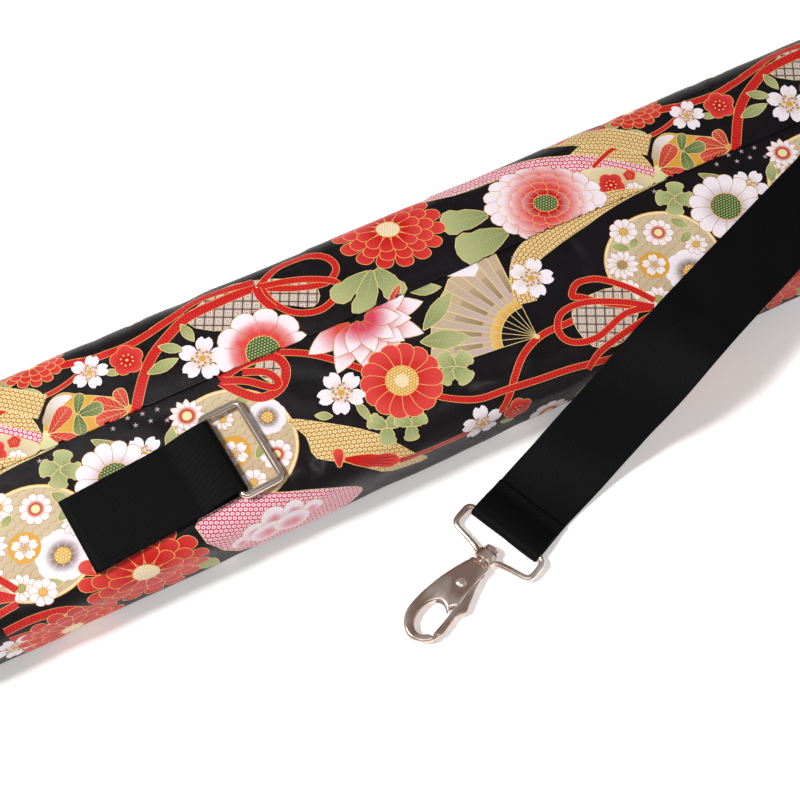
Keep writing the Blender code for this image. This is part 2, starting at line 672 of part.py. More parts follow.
def build_hook_frame(metal):
    places = [0.0214, 0.0260, 0.0305, 0.0350, 0.0400, 0.0450, 0.0500, 0.0540]
    places += [EYE_CENTRE[0] + EYE_OUTER[0] * math.sin(math.radians(angle)) for angle in range(0, 86, 10)]
    outline = [(x, hook_front(x)) for x in places] + [(EYE_CENTRE[0] + EYE_OUTER[0], EYE_CENTRE[1])]
    outline += [(x, hook_back(x)) for x in reversed(places)]
    frame = place_on_hook(plate("hook_frame", outline, HOOK_THICKNESS, metal))
    flange = cylinder("flange", 0.0040, 0.0202, 0.0218, None, CUTTERS)
    flange.data.transform(Matrix.Diagonal((1.0, 1.45, 1.0, 1.0)))
    cut(frame, place_on_hook(flange, along=True), "UNION")
    eye = plate("eye_cut", ellipse((0.0562, -0.0016), EYE_INNER, 28), 0.02, None, CUTTERS)
    cut(frame, place_on_hook(eye))
    px, py = GATE_PIVOT
    start = math.degrees(math.asin((0.0030 - py) / (GATE_REACH + 0.0004)))
    mouth = [(0.0458, 0.0180), (0.0458, 0.0030)] + arc(GATE_PIVOT, GATE_REACH + 0.0004, start, 38, 6)
    cut(frame, place_on_hook(plate("mouth_cut", mouth, 0.02, None, CUTTERS)))
    room = [(0.0240, 0.0160), (0.0240, -0.0046), (0.0480, -0.0046), (0.0560, -0.0024)]
    room += arc(GATE_PIVOT, GATE_REACH + 0.0004, -2, 38, 8)
    cut(frame, place_on_hook(plate("gate_slot_cut", room, 2 * GATE_SLOT, None, CUTTERS)))
    pin_hole = cylinder("pin_hole_cut", 0.0012, -0.01, 0.01, None, CUTTERS)
    cut(frame, place_on_hook(pin_hole, px, py))


def gate_outline():
    """Knuckle at the origin, the arm to the nose, the thumb lever, and its tail by the flange."""
    px, py = GATE_PIVOT
    knuckle = arc((0.0, 0.0), 0.0028, 150, 345, 9)
    inner = [(x - px, y - py) for x, y in ((0.0400, 0.0014), (0.0450, 0.0038), (0.0490, 0.0043), (0.0550, 0.0044))]
    nose = arc((0.0, 0.0), GATE_REACH, 11.2, 16.6, 3)
    outer = [(x - px, hook_front(x) - 0.0003 - py) for x in (0.0590, 0.0560, 0.0520, 0.0480)]
    lever = [(x - px, y - py) for x, y in ((0.0462, 0.0080), (0.0445, 0.0092), (0.0425, 0.0097), (0.0400, 0.0092),
                                          (0.0360, 0.0078), (0.0310, 0.0064), (0.0262, 0.0054), (0.0256, 0.0040),
                                          (0.0290, 0.0034))]
    return knuckle + inner + nose + outer + lever


def build_gate(metal):
    gate = place_on_hook(plate("hook_gate", gate_outline(), 2 * GATE_HALF, metal), *GATE_PIVOT)
    relief = cylinder("spring_room_cut", 0.0029, -0.0001, 0.004, None, CUTTERS)
    cut(gate, place_on_hook(relief, *GATE_PIVOT))
    bore = cylinder("gate_bore_cut", 0.0012, -0.01, 0.01, None, CUTTERS)
    cut(gate, place_on_hook(bore, *GATE_PIVOT))
    turns = [Vector((0.0016 * math.cos(a), 0.0016 * math.sin(a), 0.00045 + 0.00075 * a / (3 * math.pi)))
             for a in [math.pi * i / 6 for i in range(19)]]
    place_on_hook(wire("gate_spring", turns, 0.00025, False, metal, 1), *GATE_PIVOT)


def build_hook_rivet(metal):
    """The rivet is the gate's pin."""
    profile = [(0.0, 0.0038), (0.0016, 0.0037), (0.0025, 0.0034), (0.0028, 0.0030), (0.0009, 0.0030),
               (0.0009, -0.0030), (0.0028, -0.0030), (0.0025, -0.0034), (0.0, -0.0037)]
    place_on_hook(turned("hook_rivet", profile, metal), *GATE_PIVOT)


def main():
    clear_scene()
    inner_end = build_shell()
    build_zip(inner_end)
    build_fly()
    black, ring_metal = build_tabs()
    centre = build_strap(black)
    build_adjuster(centre, ring_metal)
    hook_metal = finish("hook_metal", (0.74, 0.68, 0.64), 0.12, 1.0)
    build_hook_base(hook_metal)
    build_hook_post(hook_metal)
    build_hook_frame(hook_metal)
    build_gate(hook_metal)
    build_hook_rivet(hook_metal)


main()
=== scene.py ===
"""Looks of the soft shamisen case: printed cloth, fly, webbing, nickel hardware, floor and light.

Works in the CAD frame: +X head end to body end, +Y rear, +Z up, metres. The print is drawn
by the motif functions below in cloth millimetres (X along the case, Y from its centre line,
carried on round the edges), triangulated together with the panel, and laid on the case.
"""
import math

import bmesh
import bpy
import numpy as np
from mathutils import Matrix, Vector
from mathutils.geometry import delaunay_2d_cdt


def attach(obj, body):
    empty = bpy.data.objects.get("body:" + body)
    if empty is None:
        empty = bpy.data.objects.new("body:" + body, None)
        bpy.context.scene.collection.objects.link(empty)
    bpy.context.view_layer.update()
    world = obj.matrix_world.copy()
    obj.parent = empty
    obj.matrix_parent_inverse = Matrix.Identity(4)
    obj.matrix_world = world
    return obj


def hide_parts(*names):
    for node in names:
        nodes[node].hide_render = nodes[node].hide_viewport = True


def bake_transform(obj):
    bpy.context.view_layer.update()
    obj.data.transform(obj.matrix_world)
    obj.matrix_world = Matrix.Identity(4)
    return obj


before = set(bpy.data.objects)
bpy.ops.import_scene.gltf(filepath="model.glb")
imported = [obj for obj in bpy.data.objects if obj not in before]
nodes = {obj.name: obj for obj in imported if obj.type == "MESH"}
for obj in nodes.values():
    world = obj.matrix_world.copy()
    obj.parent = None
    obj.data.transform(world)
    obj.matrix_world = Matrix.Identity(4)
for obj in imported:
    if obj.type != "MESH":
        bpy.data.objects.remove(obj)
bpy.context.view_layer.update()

# ---------------------------------------------------------------- sizes shared with the CAD
HALF_LENGTH = 0.540
HEAD_FLARE, BODY_FLARE = (-0.400, -0.330), (0.230, 0.340)
BOTTOM_RADIUS = 0.020
ZIP_Y = 0.027
FLY_X = (-0.455, 0.215)
WEB_WIDTH, WEB, GAP = 0.039, 0.0014, 0.0003
RING_WIRE, HOOK_WIRE = 0.0017, 0.0016
HOOK_BAR = Vector((-0.0565, -0.1030, 0.0044))
HOOK_HEADING = math.radians(204.0)
GATE_PIVOT, GATE_REACH = (0.0340, -0.0010), 0.0281
EYE_CENTRE, EYE_OUTER, EYE_INNER = (0.0568, -0.0024), (0.0127, 0.0106), (0.0090, 0.0058)
LAYER_STEP = 0.0019
ADJUSTER_AT, ADJUSTER_BAR = 13, 0.0044
# The first eleven points follow places read from the photo, which a separate helper turned into metres;
# they were then adjusted by hand. The rest are guessed. part.py has the same list.
STRAP_ROUTE = [
    (-0.0565, -0.1030, 0.0018, 0), (-0.0360, -0.0939, 0.0018, 0), (-0.0170, -0.0872, 0.0052, 6),
    (-0.0010, -0.0826, 0.0150, 18), (0.0150, -0.0790, 0.0290, 24), (0.0320, -0.0750, 0.0430, 14),
    (0.0520, -0.0680, 0.0513, 2), (0.0740, -0.0590, 0.0513, 0), (0.0960, -0.0505, 0.0513, 0),
    (0.1180, -0.0420, 0.0513, 0), (0.1400, -0.0335, 0.0513, 0), (0.1560, -0.0274, 0.0513, 0),
    (0.1720, -0.0215, 0.0513, 0), (0.1900, -0.0182, 0.0513, 0), (0.2080, -0.0163, 0.0513, 0),
    (0.2240, -0.0160, 0.0513, 0), (0.2460, -0.0160, 0.0551, 0), (0.2700, -0.0160, 0.0706, 0),
    (0.2950, -0.0160, 0.0911, 0), (0.3200, -0.0160, 0.1080, 0), (0.3450, -0.0160, 0.1140, 0),
    (0.3900, -0.0160, 0.1133, 0), (0.4400, -0.0160, 0.1133, 0), (0.4900, -0.0160, 0.1134, 0),
    (0.5050, -0.0160, 0.1132, 0), (0.5180, -0.0160, 0.1118, 0), (0.5300, -0.0160, 0.1092, 0),
    (0.5380, -0.0160, 0.1064, 0), (0.5415, -0.0160, 0.1030, 0), (0.5418, -0.0160, 0.0960, 0),
    (0.5413, -0.0160, 0.0860, 0), (0.5410, -0.0160, 0.0790, 0), (0.5410, -0.0160, 0.0715, 0),
]


def linear(rgb):
    return tuple((c / 255 / 12.92) if c <= 10 else ((c / 255 + 0.055) / 1.055) ** 2.4 for c in rgb)


INK = {name: linear(rgb) for name, rgb in {"ground": (15, 11, 14), "gold": (218, 160, 92),
                                           "pale_gold": (214, 190, 130), "red": (180, 24, 22),
                                           "deep_red": (160, 12, 16), "coral": (202, 62, 58),
                                           "pink": (214, 116, 132), "rose": (196, 58, 84),
                                           "white": (226, 216, 222), "warm_white": (212, 198, 184),
                                           "cream": (222, 210, 166), "beige": (182, 160, 132),
                                           "brown": (120, 94, 66), "grey_brown": (98, 76, 72),
                                           "ochre": (172, 120, 42), "mustard": (200, 148, 56),
                                           "green": (120, 128, 78), "light_green": (166, 170, 118),
                                           "dark_green": (56, 78, 34), "lilac": (178, 158, 164),
                                           "stone": (190, 176, 146),}.items()}
PLAIN, KANOKO, BRAID, LATTICE, SPECKLE, DOTS, VEINS, GROUND, SCALES = range(9)
KANOKO_PITCH, LATTICE_PITCH = (2.35, 2.05), (4.4, 4.4)
REPEAT = 324
LEAN = -27


# ---------------------------------------------------------------- the print
class Print:
    """Flat shapes in painter's order. Each keeps its points and how its ink is worked out."""

    def __init__(self):
        self.points, self.paint = [], []

    def add(self, points, ink, tip=None, centre=(0, 0), reach=(0, 1), kind=PLAIN, second=None,
            origin=(0, 0), angle=0.0, scale=(1, 1)):
        a, b = INK[ink], INK[tip or ink]
        second = INK[second or ink]
        self.points.append(np.array(points, float))
        self.paint.append([*a, *b, *centre, *reach, *second, kind, *origin, math.radians(angle), *scale])

    def placed(self, dx, dy):
        """These shapes moved on the cloth."""
        made = Print()
        made.points = [p + (dx, dy) for p in self.points]
        for row in self.paint:
            row = list(row)
            row[6] += dx
            row[7] += dy
            row[14] += dx
            row[15] += dy
            made.paint.append(row)
        return made

    def extend(self, other):
        self.points += other.points
        self.paint += other.paint


PROFILE = {
    "round": [(0, .22), (.25, .60), (.5, .88), (.7, 1), (.86, .88), (.96, .52), (1, 0)],
    "point": [(0, .30), (.2, .70), (.4, .98), (.55, 1), (.75, .70), (.9, .32), (1, 0)],
    "notch": [(0, .16), (.25, .60), (.5, .95), (.7, 1), (.88, .80), (1, .42), (.87, 0)],
    "leaf": [(0, .02), (.12, .42), (.32, .86), (.5, 1), (.7, .78), (.88, .34), (1, 0)],
    "lobe": [(0, .20), (.2, .55), (.42, .80), (.58, .78), (.72, 1), (.88, .86), (.97, .40), (1, 0)],
}


def petal_outline(x, y, angle, r0, r1, wide, kind, grow=0.0):
    c, s = math.cos(math.radians(angle)), math.sin(math.radians(angle))
    half = [(r0 - grow + (r1 - r0 + 2 * grow) * t, wide * h + grow) for t, h in PROFILE[kind]]
    half[-1] = (half[-1][0], 0.0)
    loop = half + [(u, -v) for u, v in reversed(half[:-1])]
    return [(x + u * c - v * s, y + u * s + v * c) for u, v in loop]


def squashed(points, x, y, flat, angle):
    """Points squashed to flat across the direction angle, about x, y."""
    c, s = math.cos(math.radians(angle)), math.sin(math.radians(angle))
    made = []
    for px, py in points:
        u, v = (px - x) * c + (py - y) * s, (-(px - x) * s + (py - y) * c) * flat
        made.append((x + u * c - v * s, y + u * s + v * c))
    return made


def disc(p, x, y, r, ink, sides=18, flat=1.0, angle=LEAN, **more):
    ring = [(x + r * math.cos(2 * math.pi * i / sides), y + r * math.sin(2 * math.pi * i / sides))
            for i in range(sides)]
    p.add(squashed(ring, x, y, flat, angle), ink, **more)


def petals(p, x, y, count, r0, r1, wide, kind, ink, tip, start=0, flat=1.0, line=0.32, rim="gold",
           mode=PLAIN, second=None, fade=(0.15, 1.0)):
    """A ring of petals, each with its outline drawn under it."""
    for k in range(count):
        angle = start + 360 * k / count
        if rim:
            p.add(squashed(petal_outline(x, y, angle, r0, r1, wide, kind, line), x, y, flat, LEAN), rim)
        p.add(squashed(petal_outline(x, y, angle, r0, r1, wide, kind), x, y, flat, LEAN), ink, tip,
              (x, y), (r0 + (r1 - r0) * fade[0], r0 + (r1 - r0) * fade[1]), mode, second)


def dotted_centre(p, x, y, r, ink="dark_green", dots="light_green", rim="gold", flat=1.0):
    disc(p, x, y, r + 0.4, rim, flat=flat)
    disc(p, x, y, r, ink, flat=flat, kind=DOTS, second=dots, origin=(x, y), scale=(1.55, 1.35))


def blossom(p, x, y, r, turn=0.0):
    """Five notched white petals with a ring of gold stamens."""
    petals(p, x, y, 5, r * 0.08, r, r * 0.36, "notch", "beige", "white", turn, rim=None, fade=(0, 0.55))
    disc(p, x, y, r * 0.30, "warm_white", 12, tip="white", centre=(x, y), reach=(0, r * 0.3))
    for k in range(15):
        angle = math.radians(turn + 360 * k / 15)
        reach = r * (0.24, 0.42, 0.33)[k % 3]
        dx, dy = math.cos(angle), math.sin(angle)
        w = 0.13
        p.add([(x - w * dy, y + w * dx), (x + w * dy, y - w * dx),
               (x + reach * dx + w * dy, y + reach * dy - w * dx),
               (x + reach * dx - w * dy, y + reach * dy + w * dx)], "ochre")
        disc(p, x + reach * dx, y + reach * dy, r * 0.065, "ochre", 6)
    disc(p, x, y, r * 0.15, "mustard", 8)


def plum(p, x, y, r, turn=0.0):
    """A small red plum flower with a gold edge and gold stamens."""
    for k in range(5):
        angle = math.radians(turn + 72 * k)
        cx, cy = x + r * 0.52 * math.cos(angle), y + r * 0.52 * math.sin(angle)
        disc(p, cx, cy, r * 0.48 + 0.3, "gold", 12)
    for k in range(5):
        angle = math.radians(turn + 72 * k)
        cx, cy = x + r * 0.52 * math.cos(angle), y + r * 0.52 * math.sin(angle)
        disc(p, cx, cy, r * 0.48, "red", 12, tip="coral", centre=(x, y), reach=(r * 0.3, r))
    for k in range(8):
        angle = math.radians(turn + 45 * k)
        disc(p, x + r * 0.36 * math.cos(angle), y + r * 0.36 * math.sin(angle), r * 0.06, "pale_gold", 6)
    disc(p, x, y, r * 0.09, "pale_gold", 6)


def leaf(p, x0, y0, x1, y1, wide, ink="green", tip="light_green", rim="pale_gold", kind="leaf"):
    angle = math.degrees(math.atan2(y1 - y0, x1 - x0))
    length = math.hypot(x1 - x0, y1 - y0)
    p.add(petal_outline(x0, y0, angle, 0, length, wide / 2, kind, 0.3), rim)
    p.add(petal_outline(x0, y0, angle, 0, length, wide / 2, kind), ink, tip, (x0, y0), (0, length),
          VEINS, "light_green" if ink != "light_green" else "green", (x0, y0), angle, (1, 1))


def clover(p, x, y, r, turn=0.0, count=4):
    for k in range(count):
        angle = math.radians(turn + 360 * k / count)
        leaf(p, x, y, x + r * math.cos(angle), y + r * math.sin(angle), r * 0.92, kind="lobe")


def smooth(points, per_span=4, closed=False):
    pts = [np.array(q, float) for q in points]
    n = len(pts)
    made = []
    for i in range(n if closed else n - 1):
        if closed:
            a, b, c, d = pts[i - 1], pts[i], pts[(i + 1) % n], pts[(i + 2) % n]
        else:
            a, b, c, d = pts[max(i - 1, 0)], pts[i], pts[i + 1], pts[min(i + 2, n - 1)]
        for k in range(per_span):
            t = k / per_span
            made.append(0.5 * (2 * b + (c - a) * t + (2 * a - 5 * b + 4 * c - d) * t * t
                               + (3 * b - a - 3 * c + d) * t ** 3))
    if not closed:
        made.append(pts[-1])
    return made


def band(p, points, wide, ink, second, kind, rim="gold", line=0.35, pitch=(1.5, 1.0), taper=None, per_span=4):
    """A ribbon or cord along points; the pattern follows its length."""
    mid = np.array(smooth(points, per_span))
    step = np.gradient(mid, axis=0)
    step /= np.linalg.norm(step, axis=1)[:, None] + 1e-9
    across = np.column_stack((-step[:, 1], step[:, 0]))
    run = np.concatenate(([0], np.cumsum(np.linalg.norm(np.diff(mid, axis=0), axis=1))))
    share = run / run[-1]
    half = np.full(len(mid), wide / 2)
    if taper:
        half = np.interp(share, [t for t, _ in taper], [w / 2 for _, w in taper])
    for i in range(len(mid) - 1):
        if rim:
            h0, h1 = half[i] + line, half[i + 1] + line
            p.add([mid[i] - across[i] * h0, mid[i + 1] - across[i + 1] * h1,
                   mid[i + 1] + across[i + 1] * h1, mid[i] + across[i] * h0], rim)
    for i in range(len(mid) - 1):
        angle = math.degrees(math.atan2(*(mid[i + 1] - mid[i])[::-1]))
        back = np.array((math.cos(math.radians(angle)), math.sin(math.radians(angle)))) * run[i]
        p.add([mid[i] - across[i] * half[i], mid[i + 1] - across[i + 1] * half[i + 1],
               mid[i + 1] + across[i + 1] * half[i + 1], mid[i] + across[i] * half[i]],
              ink, None, (0, 0), (0, 1), kind, second, mid[i] - back, angle, pitch)


def cord(p, points, wide=3.1, per_span=5):
    band(p, points, wide, "red", "coral", BRAID, "gold", 0.24, (1.7, wide / 2), None, per_span)


def tassel(p, x0, y0, x1, y1, wide):
    """A red tassel: the knot behind it and threads to its brush end."""
    dx, dy = x1 - x0, y1 - y0
    long, angle = math.hypot(dx, dy), math.degrees(math.atan2(dy, dx))
    for grow, ink, tip in ((0.35, "gold", None), (0.0, "red", "coral")):
        p.add(petal_outline(x0 - dx * 0.10, y0 - dy * 0.10, angle + 100, -wide * 0.45, wide * 0.62,
                            wide * 0.30, "round", grow), ink, tip, (x0, y0), (0, wide))
        p.add(petal_outline(x0, y0, angle, 0, long, wide / 2, "lobe", grow), ink, tip, (x0, y0),
              (long * 0.2, long))
    for k in (-1, 0, 1):
        p.add(petal_outline(x0, y0, angle + 5 * k, long * 0.3, long * 0.92, 0.28, "round"), "deep_red")


def patch(p, points, ink, second, kind, pitch, angle=LEAN, rim="pale_gold", line=0.3):
    """A filled shape with a fine pattern inside."""
    pts = np.array(smooth(points, 3, True))
    middle = pts.mean(axis=0)
    if rim:
        away = pts - middle
        p.add(pts + away / (np.linalg.norm(away, axis=1)[:, None] + 1e-9) * line, rim)
    p.add(pts, ink, None, (0, 0), (0, 1), kind, second, tuple(middle), angle, pitch)


def lattice(p, points):
    """A roundel or scrap of white cloth with a brown lattice."""
    patch(p, points, "warm_white", "grey_brown", LATTICE, LATTICE_PITCH)


def kanoko(p, points, ink, second, angle=LEAN):
    """A patch of small tied rings."""
    patch(p, points, ink, second, KANOKO, KANOKO_PITCH, angle)


def kanoko_ribbon(p, points, ink, second, taper):
    """A ribbon of small tied rings; taper gives (share of its length, width) pairs."""
    band(p, points, 0, ink, second, KANOKO, "pale_gold", 0.3, KANOKO_PITCH, taper)


def leaves(p, *routes):
    """Plain leaves, each from its foot to its tip and so wide."""
    for route in routes:
        leaf(p, *route)


def daisy(p, x, y, r, count=9, inner=None, kind="round", eye="mustard", base="warm_white"):
    petals(p, x, y, count, r * 0.2, r, r * 2.5 / count, kind, base, "white", 10, line=0.22, rim="ochre",
           fade=(0.1, 0.6))
    if inner:
        disc(p, x, y, r * 0.56, inner, 14, tip="warm_white", centre=(x, y), reach=(r * 0.36, r * 0.62),
             kind=SPECKLE, second="warm_white")
    disc(p, x, y, r * 0.32, "ochre", 12)
    disc(p, x, y, r * 0.27, "cream" if inner else eye, 12, kind=DOTS, second="pale_gold", origin=(x, y),
         scale=(0.9, 0.8))


def anemone(p, x, y, r):
    """White petals over a grey-brown haze, with a gold dotted middle."""
    petals(p, x, y, 9, r * 0.2, r, r * 0.34, "round", "grey_brown", "white", 0, rim="warm_white", line=0.15,
           fade=(0.15, 0.75), mode=SPECKLE, second="white")
    for k in range(18):
        angle = math.radians(20 * k)
        c, s = math.cos(angle), math.sin(angle)
        p.add([(x - .12 * s, y + .12 * c), (x + .12 * s, y - .12 * c), (x + r * .58 * c, y + r * .58 * s)],
              "pale_gold")
    dotted_centre(p, x, y, r * 0.3, "mustard", "cream", "ochre")


def medallion(p, x, y, rx, ry, lean=0.0):
    """A cream roundel with a gold rim and a scaled beige field inside; its flowers are drawn over it
    separately.
    """
    def ring(grow):
        return squashed([(x + (rx + grow) * math.cos(a), y + (rx + grow) * math.sin(a))
                         for a in np.linspace(0, 2 * math.pi, 48, endpoint=False)], x, y, ry / rx, lean)
    p.add(ring(0), "gold")
    p.add(ring(-0.5), "cream")
    p.add(ring(-1.5), "gold")
    p.add(ring(-1.75), "beige", "stone", (x, y - ry), (ry * 0.4, ry * 2.0), SCALES, "ochre", (x, y), 20,
          (4.4, 3.6))


def fan(p, x, y, r0, r1, a0, a1, count=7):
    """A half-open folding fan: pleated leaf, gold band, thin ribs down to the pivot."""
    def at(r, a):
        return (x + r * math.cos(math.radians(a)), y + r * math.sin(math.radians(a)))
    step = (a1 - a0) / count
    for k in range(count + 1):
        a = a0 + step * k
        p.add([at(1.0, a - 9), at(r0, a - 0.55), at(r0, a + 0.55), at(1.0, a + 9)], "pale_gold")
    for k in range(count):
        a, b = a0 + step * k, a0 + step * (k + 1)
        m = (a + b) / 2
        r2 = r1 * (0.97 if k % 2 else 1.0)
        p.add([at(r0, a - 0.4), at(r1 + 0.4, a - 0.3), at(r2 + 2.0, m), at(r1 + 0.4, b + 0.3),
               at(r0, b + 0.4)], "pale_gold")
        for lo, hi, base, tip in ((a + 0.35, m - 0.2, "beige", "beige"),
                                  (m + 0.2, b - 0.35, "lilac", "beige")):
            outer = r1 if lo < m - 1 else r2 + 1.4
            last = r2 + 1.4 if hi < m + 0.1 else r1
            p.add([at(r0 + 0.5, lo), at(outer, lo), at(last, hi), at(r0 + 0.5, hi)], base, tip, (x, y),
                  (r0, r1))
        p.add([at(r0 * 1.55, a + 0.9), at(r1 * 0.80, a + 0.9), at(r1 * 0.80, m - 0.5),
               at(r0 * 1.55, m - 1.0)], "brown", "beige", (x, y), (r0, r1))
        p.add([at(r0 + 0.4, a + 0.5), at(r0 * 1.28, a + 0.5), at(r0 * 1.34, m), at(r0 * 1.28, b - 0.5),
               at(r0 + 0.4, b - 0.5)], "mustard", "pale_gold", (x, y), (r0, r0 * 1.5))
    disc(p, x, y, 1.3, "pale_gold", 10)


def star(p, x, y):
    """A small five-pointed star."""
    p.add([(x + r * math.cos(math.radians(36 * k)), y + r * math.sin(math.radians(36 * k)))
           for k, r in enumerate([1.5, 0.45] * 5)], "lilac")


def mum_red(p, x, y, r, flat):
    """A red chrysanthemum: three rings of petals and a dotted middle."""
    for count, r0, r1, wide, turn in ((15, .45, 1.0, .15, 0), (14, .30, .80, .14, 12), (12, .2, .58, .12, 0)):
        petals(p, x, y, count, r * r0, r * r1, r * wide, "round", "red", "coral", turn, flat, fade=(0.2, 1.0))
    dotted_centre(p, x, y, r * 0.2, "pale_gold", "white", "gold", flat)


# Both repeats are in millimetres on the cloth. Where the photo shows the cloth, many places were picked on
# it by eye and turned into millimetres by a separate helper. Some of those numbers stand here as it gave
# them, and others were adjusted by hand.
def front_motifs():
    """One repeat of the print below the fly's edge: X -262 to 62, Y 14 to -100."""
    p = Print()
    leaf(p, -216, 8, -201, -9, 6.5)
    medallion(p, -160, -24, 31, 30)
    medallion(p, -257, -27, 29, 28)
    anemone(p, -139, -17, 9)
    daisy(p, -172, 0, 8.5, 12, "red", "point")
    daisy(p, -143, -36, 7.5, 9, "red")
    daisy(p, -176, -22, 7, 9)
    disc(p, -160, -26, 8, "mustard", 20)
    blossom(p, -160, -27, 6.5, 20)
    daisy(p, -158, -9, 5.5, 10, None, "point")
    daisy(p, -158, -44, 6.5, 9)
    daisy(p, -186, -30, 6, 9)
    daisy(p, -180, -8, 5, 8, None, "point", "green")
    leaves(p, (-168, -38, -178, -42, 4.5), (-149, -2, -142, -6, 4), (-152, -34, -144, -27, 4.5),
           (-186, -12, -180, -2, 5))
    # middle ground: cords, bow, lattice, patches
    lattice(p, [(-124, 12), (-119, 6), (-124, -3), (-130, -2), (-134, 8)])
    cord(p, [(-150, 11), (-138, 12), (-124, 11), (-119, 10), (-107, 3), (-95, -8), (-84, -20)])
    cord(p, [(-151, 10), (-137, 13), (-124, 10), (-121, 2), (-127, -6), (-137, -7), (-145, 0), (-151, 9)],
         4.2)
    cord(p, [(-150, 9), (-140, 4), (-131, -4), (-127, -3), (-130, 4), (-140, 9)], 3.4)
    kanoko(p, [(-131, -22), (-113, -34), (-98, -47), (-86, -62), (-78, -76), (-96, -72), (-112, -56),
               (-127, -46), (-127, -34)], "ochre", "cream", -20)
    tassel(p, -116, -52, -92, -65, 8)
    cord(p, [(34, -34), (12, -36), (-4, -36), (-17, -41), (-27, -50), (-35, -60), (-44, -65), (-60, -68),
             (-76, -68), (-92, -65)])
    cord(p, [(22, -62), (2, -58), (-16, -56), (-32, -54), (-48, -52), (-62, -44), (-70, -34)])
    fan(p, -7.5, -36, 17, 50, 86, 173)
    p.add([(-31, 12), (-15, 13), (-15, 9), (-19, 6)], "white")
    kanoko_ribbon(p, [(-3, -18), (0, -6), (8, 4), (22, 9), (40, 13), (58, 15), (76, 15), (92, 13)], "ochre",
                  "cream", [(0, 9), (0.25, 12), (0.55, 13), (0.9, 5), (1, 1)])
    blossom(p, 5, -7, 11, 52)
    leaves(p, (-54, -9, -32, 4, 8), (-58, -14, -36, -22, 10), (-51, 13, -36, 8, 6.5))
    clover(p, -50, -33, 10, 20, 4)
    # the pointed pink and white lotus
    for count, r0, r1, wide, turn, base in ((7, 6, 31, 5.6, 192, "coral"), (6, 4, 24, 5.2, 214, "rose"),
                                            (4, 2, 19, 4.4, 228, "rose")):
        for k in range(count):
            angle = turn + (190 if count == 7 else 150 if count == 6 else 110) * k / (count - 1)
            p.add(petal_outline(-78, 10, angle, r0, r1, wide, "point", 0.3), "ochre")
            p.add(petal_outline(-78, 10, angle, r0, r1, wide, "point"), base, "white", (-78, 10),
                  (r0 + (r1 - r0) * 0.30, r1 * 0.92), SPECKLE, "white")
    clover(p, -92, -46, 9, 250, 3)
    clover(p, -81, -50, 8, 250, 3)
    petals(p, -75, -28, 14, 4, 19.5, 4.6, "round", "red", "coral", 8, fade=(0.1, 0.8))
    dotted_centre(p, -75, -28, 7.6, "mustard", "cream")
    disc(p, -75, -28, 3.4, "pale_gold", 14, kind=DOTS, second="white", origin=(-75, -28), scale=(0.9, 0.8))
    leaf(p, -99, -28, -97, -41, 4)
    blossom(p, -103, -21, 11.5, 100)
    leaf(p, -112, -30, -119, -26, 4)
    leaf(p, -53, 18, -64, 13, 5, "red", "coral")
    blossom(p, -49, -66, 10.5, 15)
    leaf(p, -39, -72, -32, -77, 4)
    plum(p, -30, -68, 7.5, 20)
    # right hand bow over a lattice roundel
    lattice(p, [(12, -36), (20, -28), (40, -30), (44, -42), (30, -56), (14, -52)])
    cord(p, [(46, -45), (32, -36), (22, -27), (18, -24), (24, -19), (34, -22), (44, -32), (52, -44)])
    cord(p, [(50, -47), (36, -44), (18, -49), (6, -46), (3, -38), (9, -30), (22, -30), (38, -38), (50, -47)])
    cord(p, [(50, -50), (34, -52), (16, -56), (8, -62)])
    # white daisy, clover and stars to the left
    clover(p, -234, 1, 9.5, 60, 4)
    blossom(p, -197, -9, 9.5, 30)
    petals(p, -213.5, -14, 13, 6, 18.5, 3.9, "round", "lilac", "white", 6, rim="ochre", line=0.25,
           fade=(0.0, 0.55))
    dotted_centre(p, -213.5, -14, 7.6)
    for x, y in ((-197, 11), (-195, 6), (-190, 10), (-188, 5), (-183, 9), (-181, 2), (-241, 9), (-205, 9),
                 (3, 7)):
        star(p, x, y)
    # inside the left roundel
    daisy(p, -266, -4, 7, 9)
    daisy(p, -251, -12, 7.5, 10, "red")
    leaf(p, -242, -8, -236, -16, 5)
    anemone(p, -248, -38, 12.5)
    disc(p, -262, -27, 7.5, "mustard", 18)
    blossom(p, -262, -27, 6, 0)
    daisy(p, -276, -20, 8.5, 12, None, "point", "brown")
    daisy(p, -270, -44, 7, 10, None, "point", "green")
    leaf(p, -262, -46, -252, -50, 4.5)
    daisy(p, -238, -26, 6, 9, None, "point")
    leaves(p, (-236, -40, -232, -32, 5), (-268, -14, -276, -8, 4.5))
    daisy(p, -262, -50, 6.5, 8)
    leaves(p, (-244, -22, -236, -18, 4.5), (-262, -10, -268, -14, 4))
    daisy(p, -281, -34, 6.5, 10)
    # below: red chrysanthemum, pink patch with cloud scallops, lattice and cord end
    kanoko(p, [(-190, -52), (-168, -47), (-146, -55), (-120, -66), (-112, -78), (-124, -90), (-150, -92),
               (-175, -84)], "rose", "white", -25)
    for x, y, r in ((-173, -75, 5), (-166, -69, 6), (-156, -64.5, 6), (-146, -65, 5), (-137, -70, 5),
                    (-160, -76, 9), (-148, -76, 9)):
        disc(p, x, y, r + 0.3, "gold", 16)
        disc(p, x, y, r, "pink", 16, tip="white", centre=(x, y - 2), reach=(r * 0.2, r), kind=SPECKLE,
             second="white")
    leaf(p, -196, -72, -186, -90, 9)
    mum_red(p, -218, -63, 31, 0.74)
    lattice(p, [(-262, -62), (-248, -68), (-252, -82), (-270, -80)])
    cord(p, [(-284, -60), (-269, -60), (-256, -63), (-245, -72)], 4)
    cord(p, [(-284, -66), (-268, -70), (-256, -74), (-262, -82), (-278, -74)], 4)
    leaf(p, 18, -74, 2, -84, 9)
    blossom(p, 40, -76, 11, 40)
    mum_red(p, 66, -84, 26, 0.8)
    daisy(p, -12, -88, 11, 10, "red")
    return p


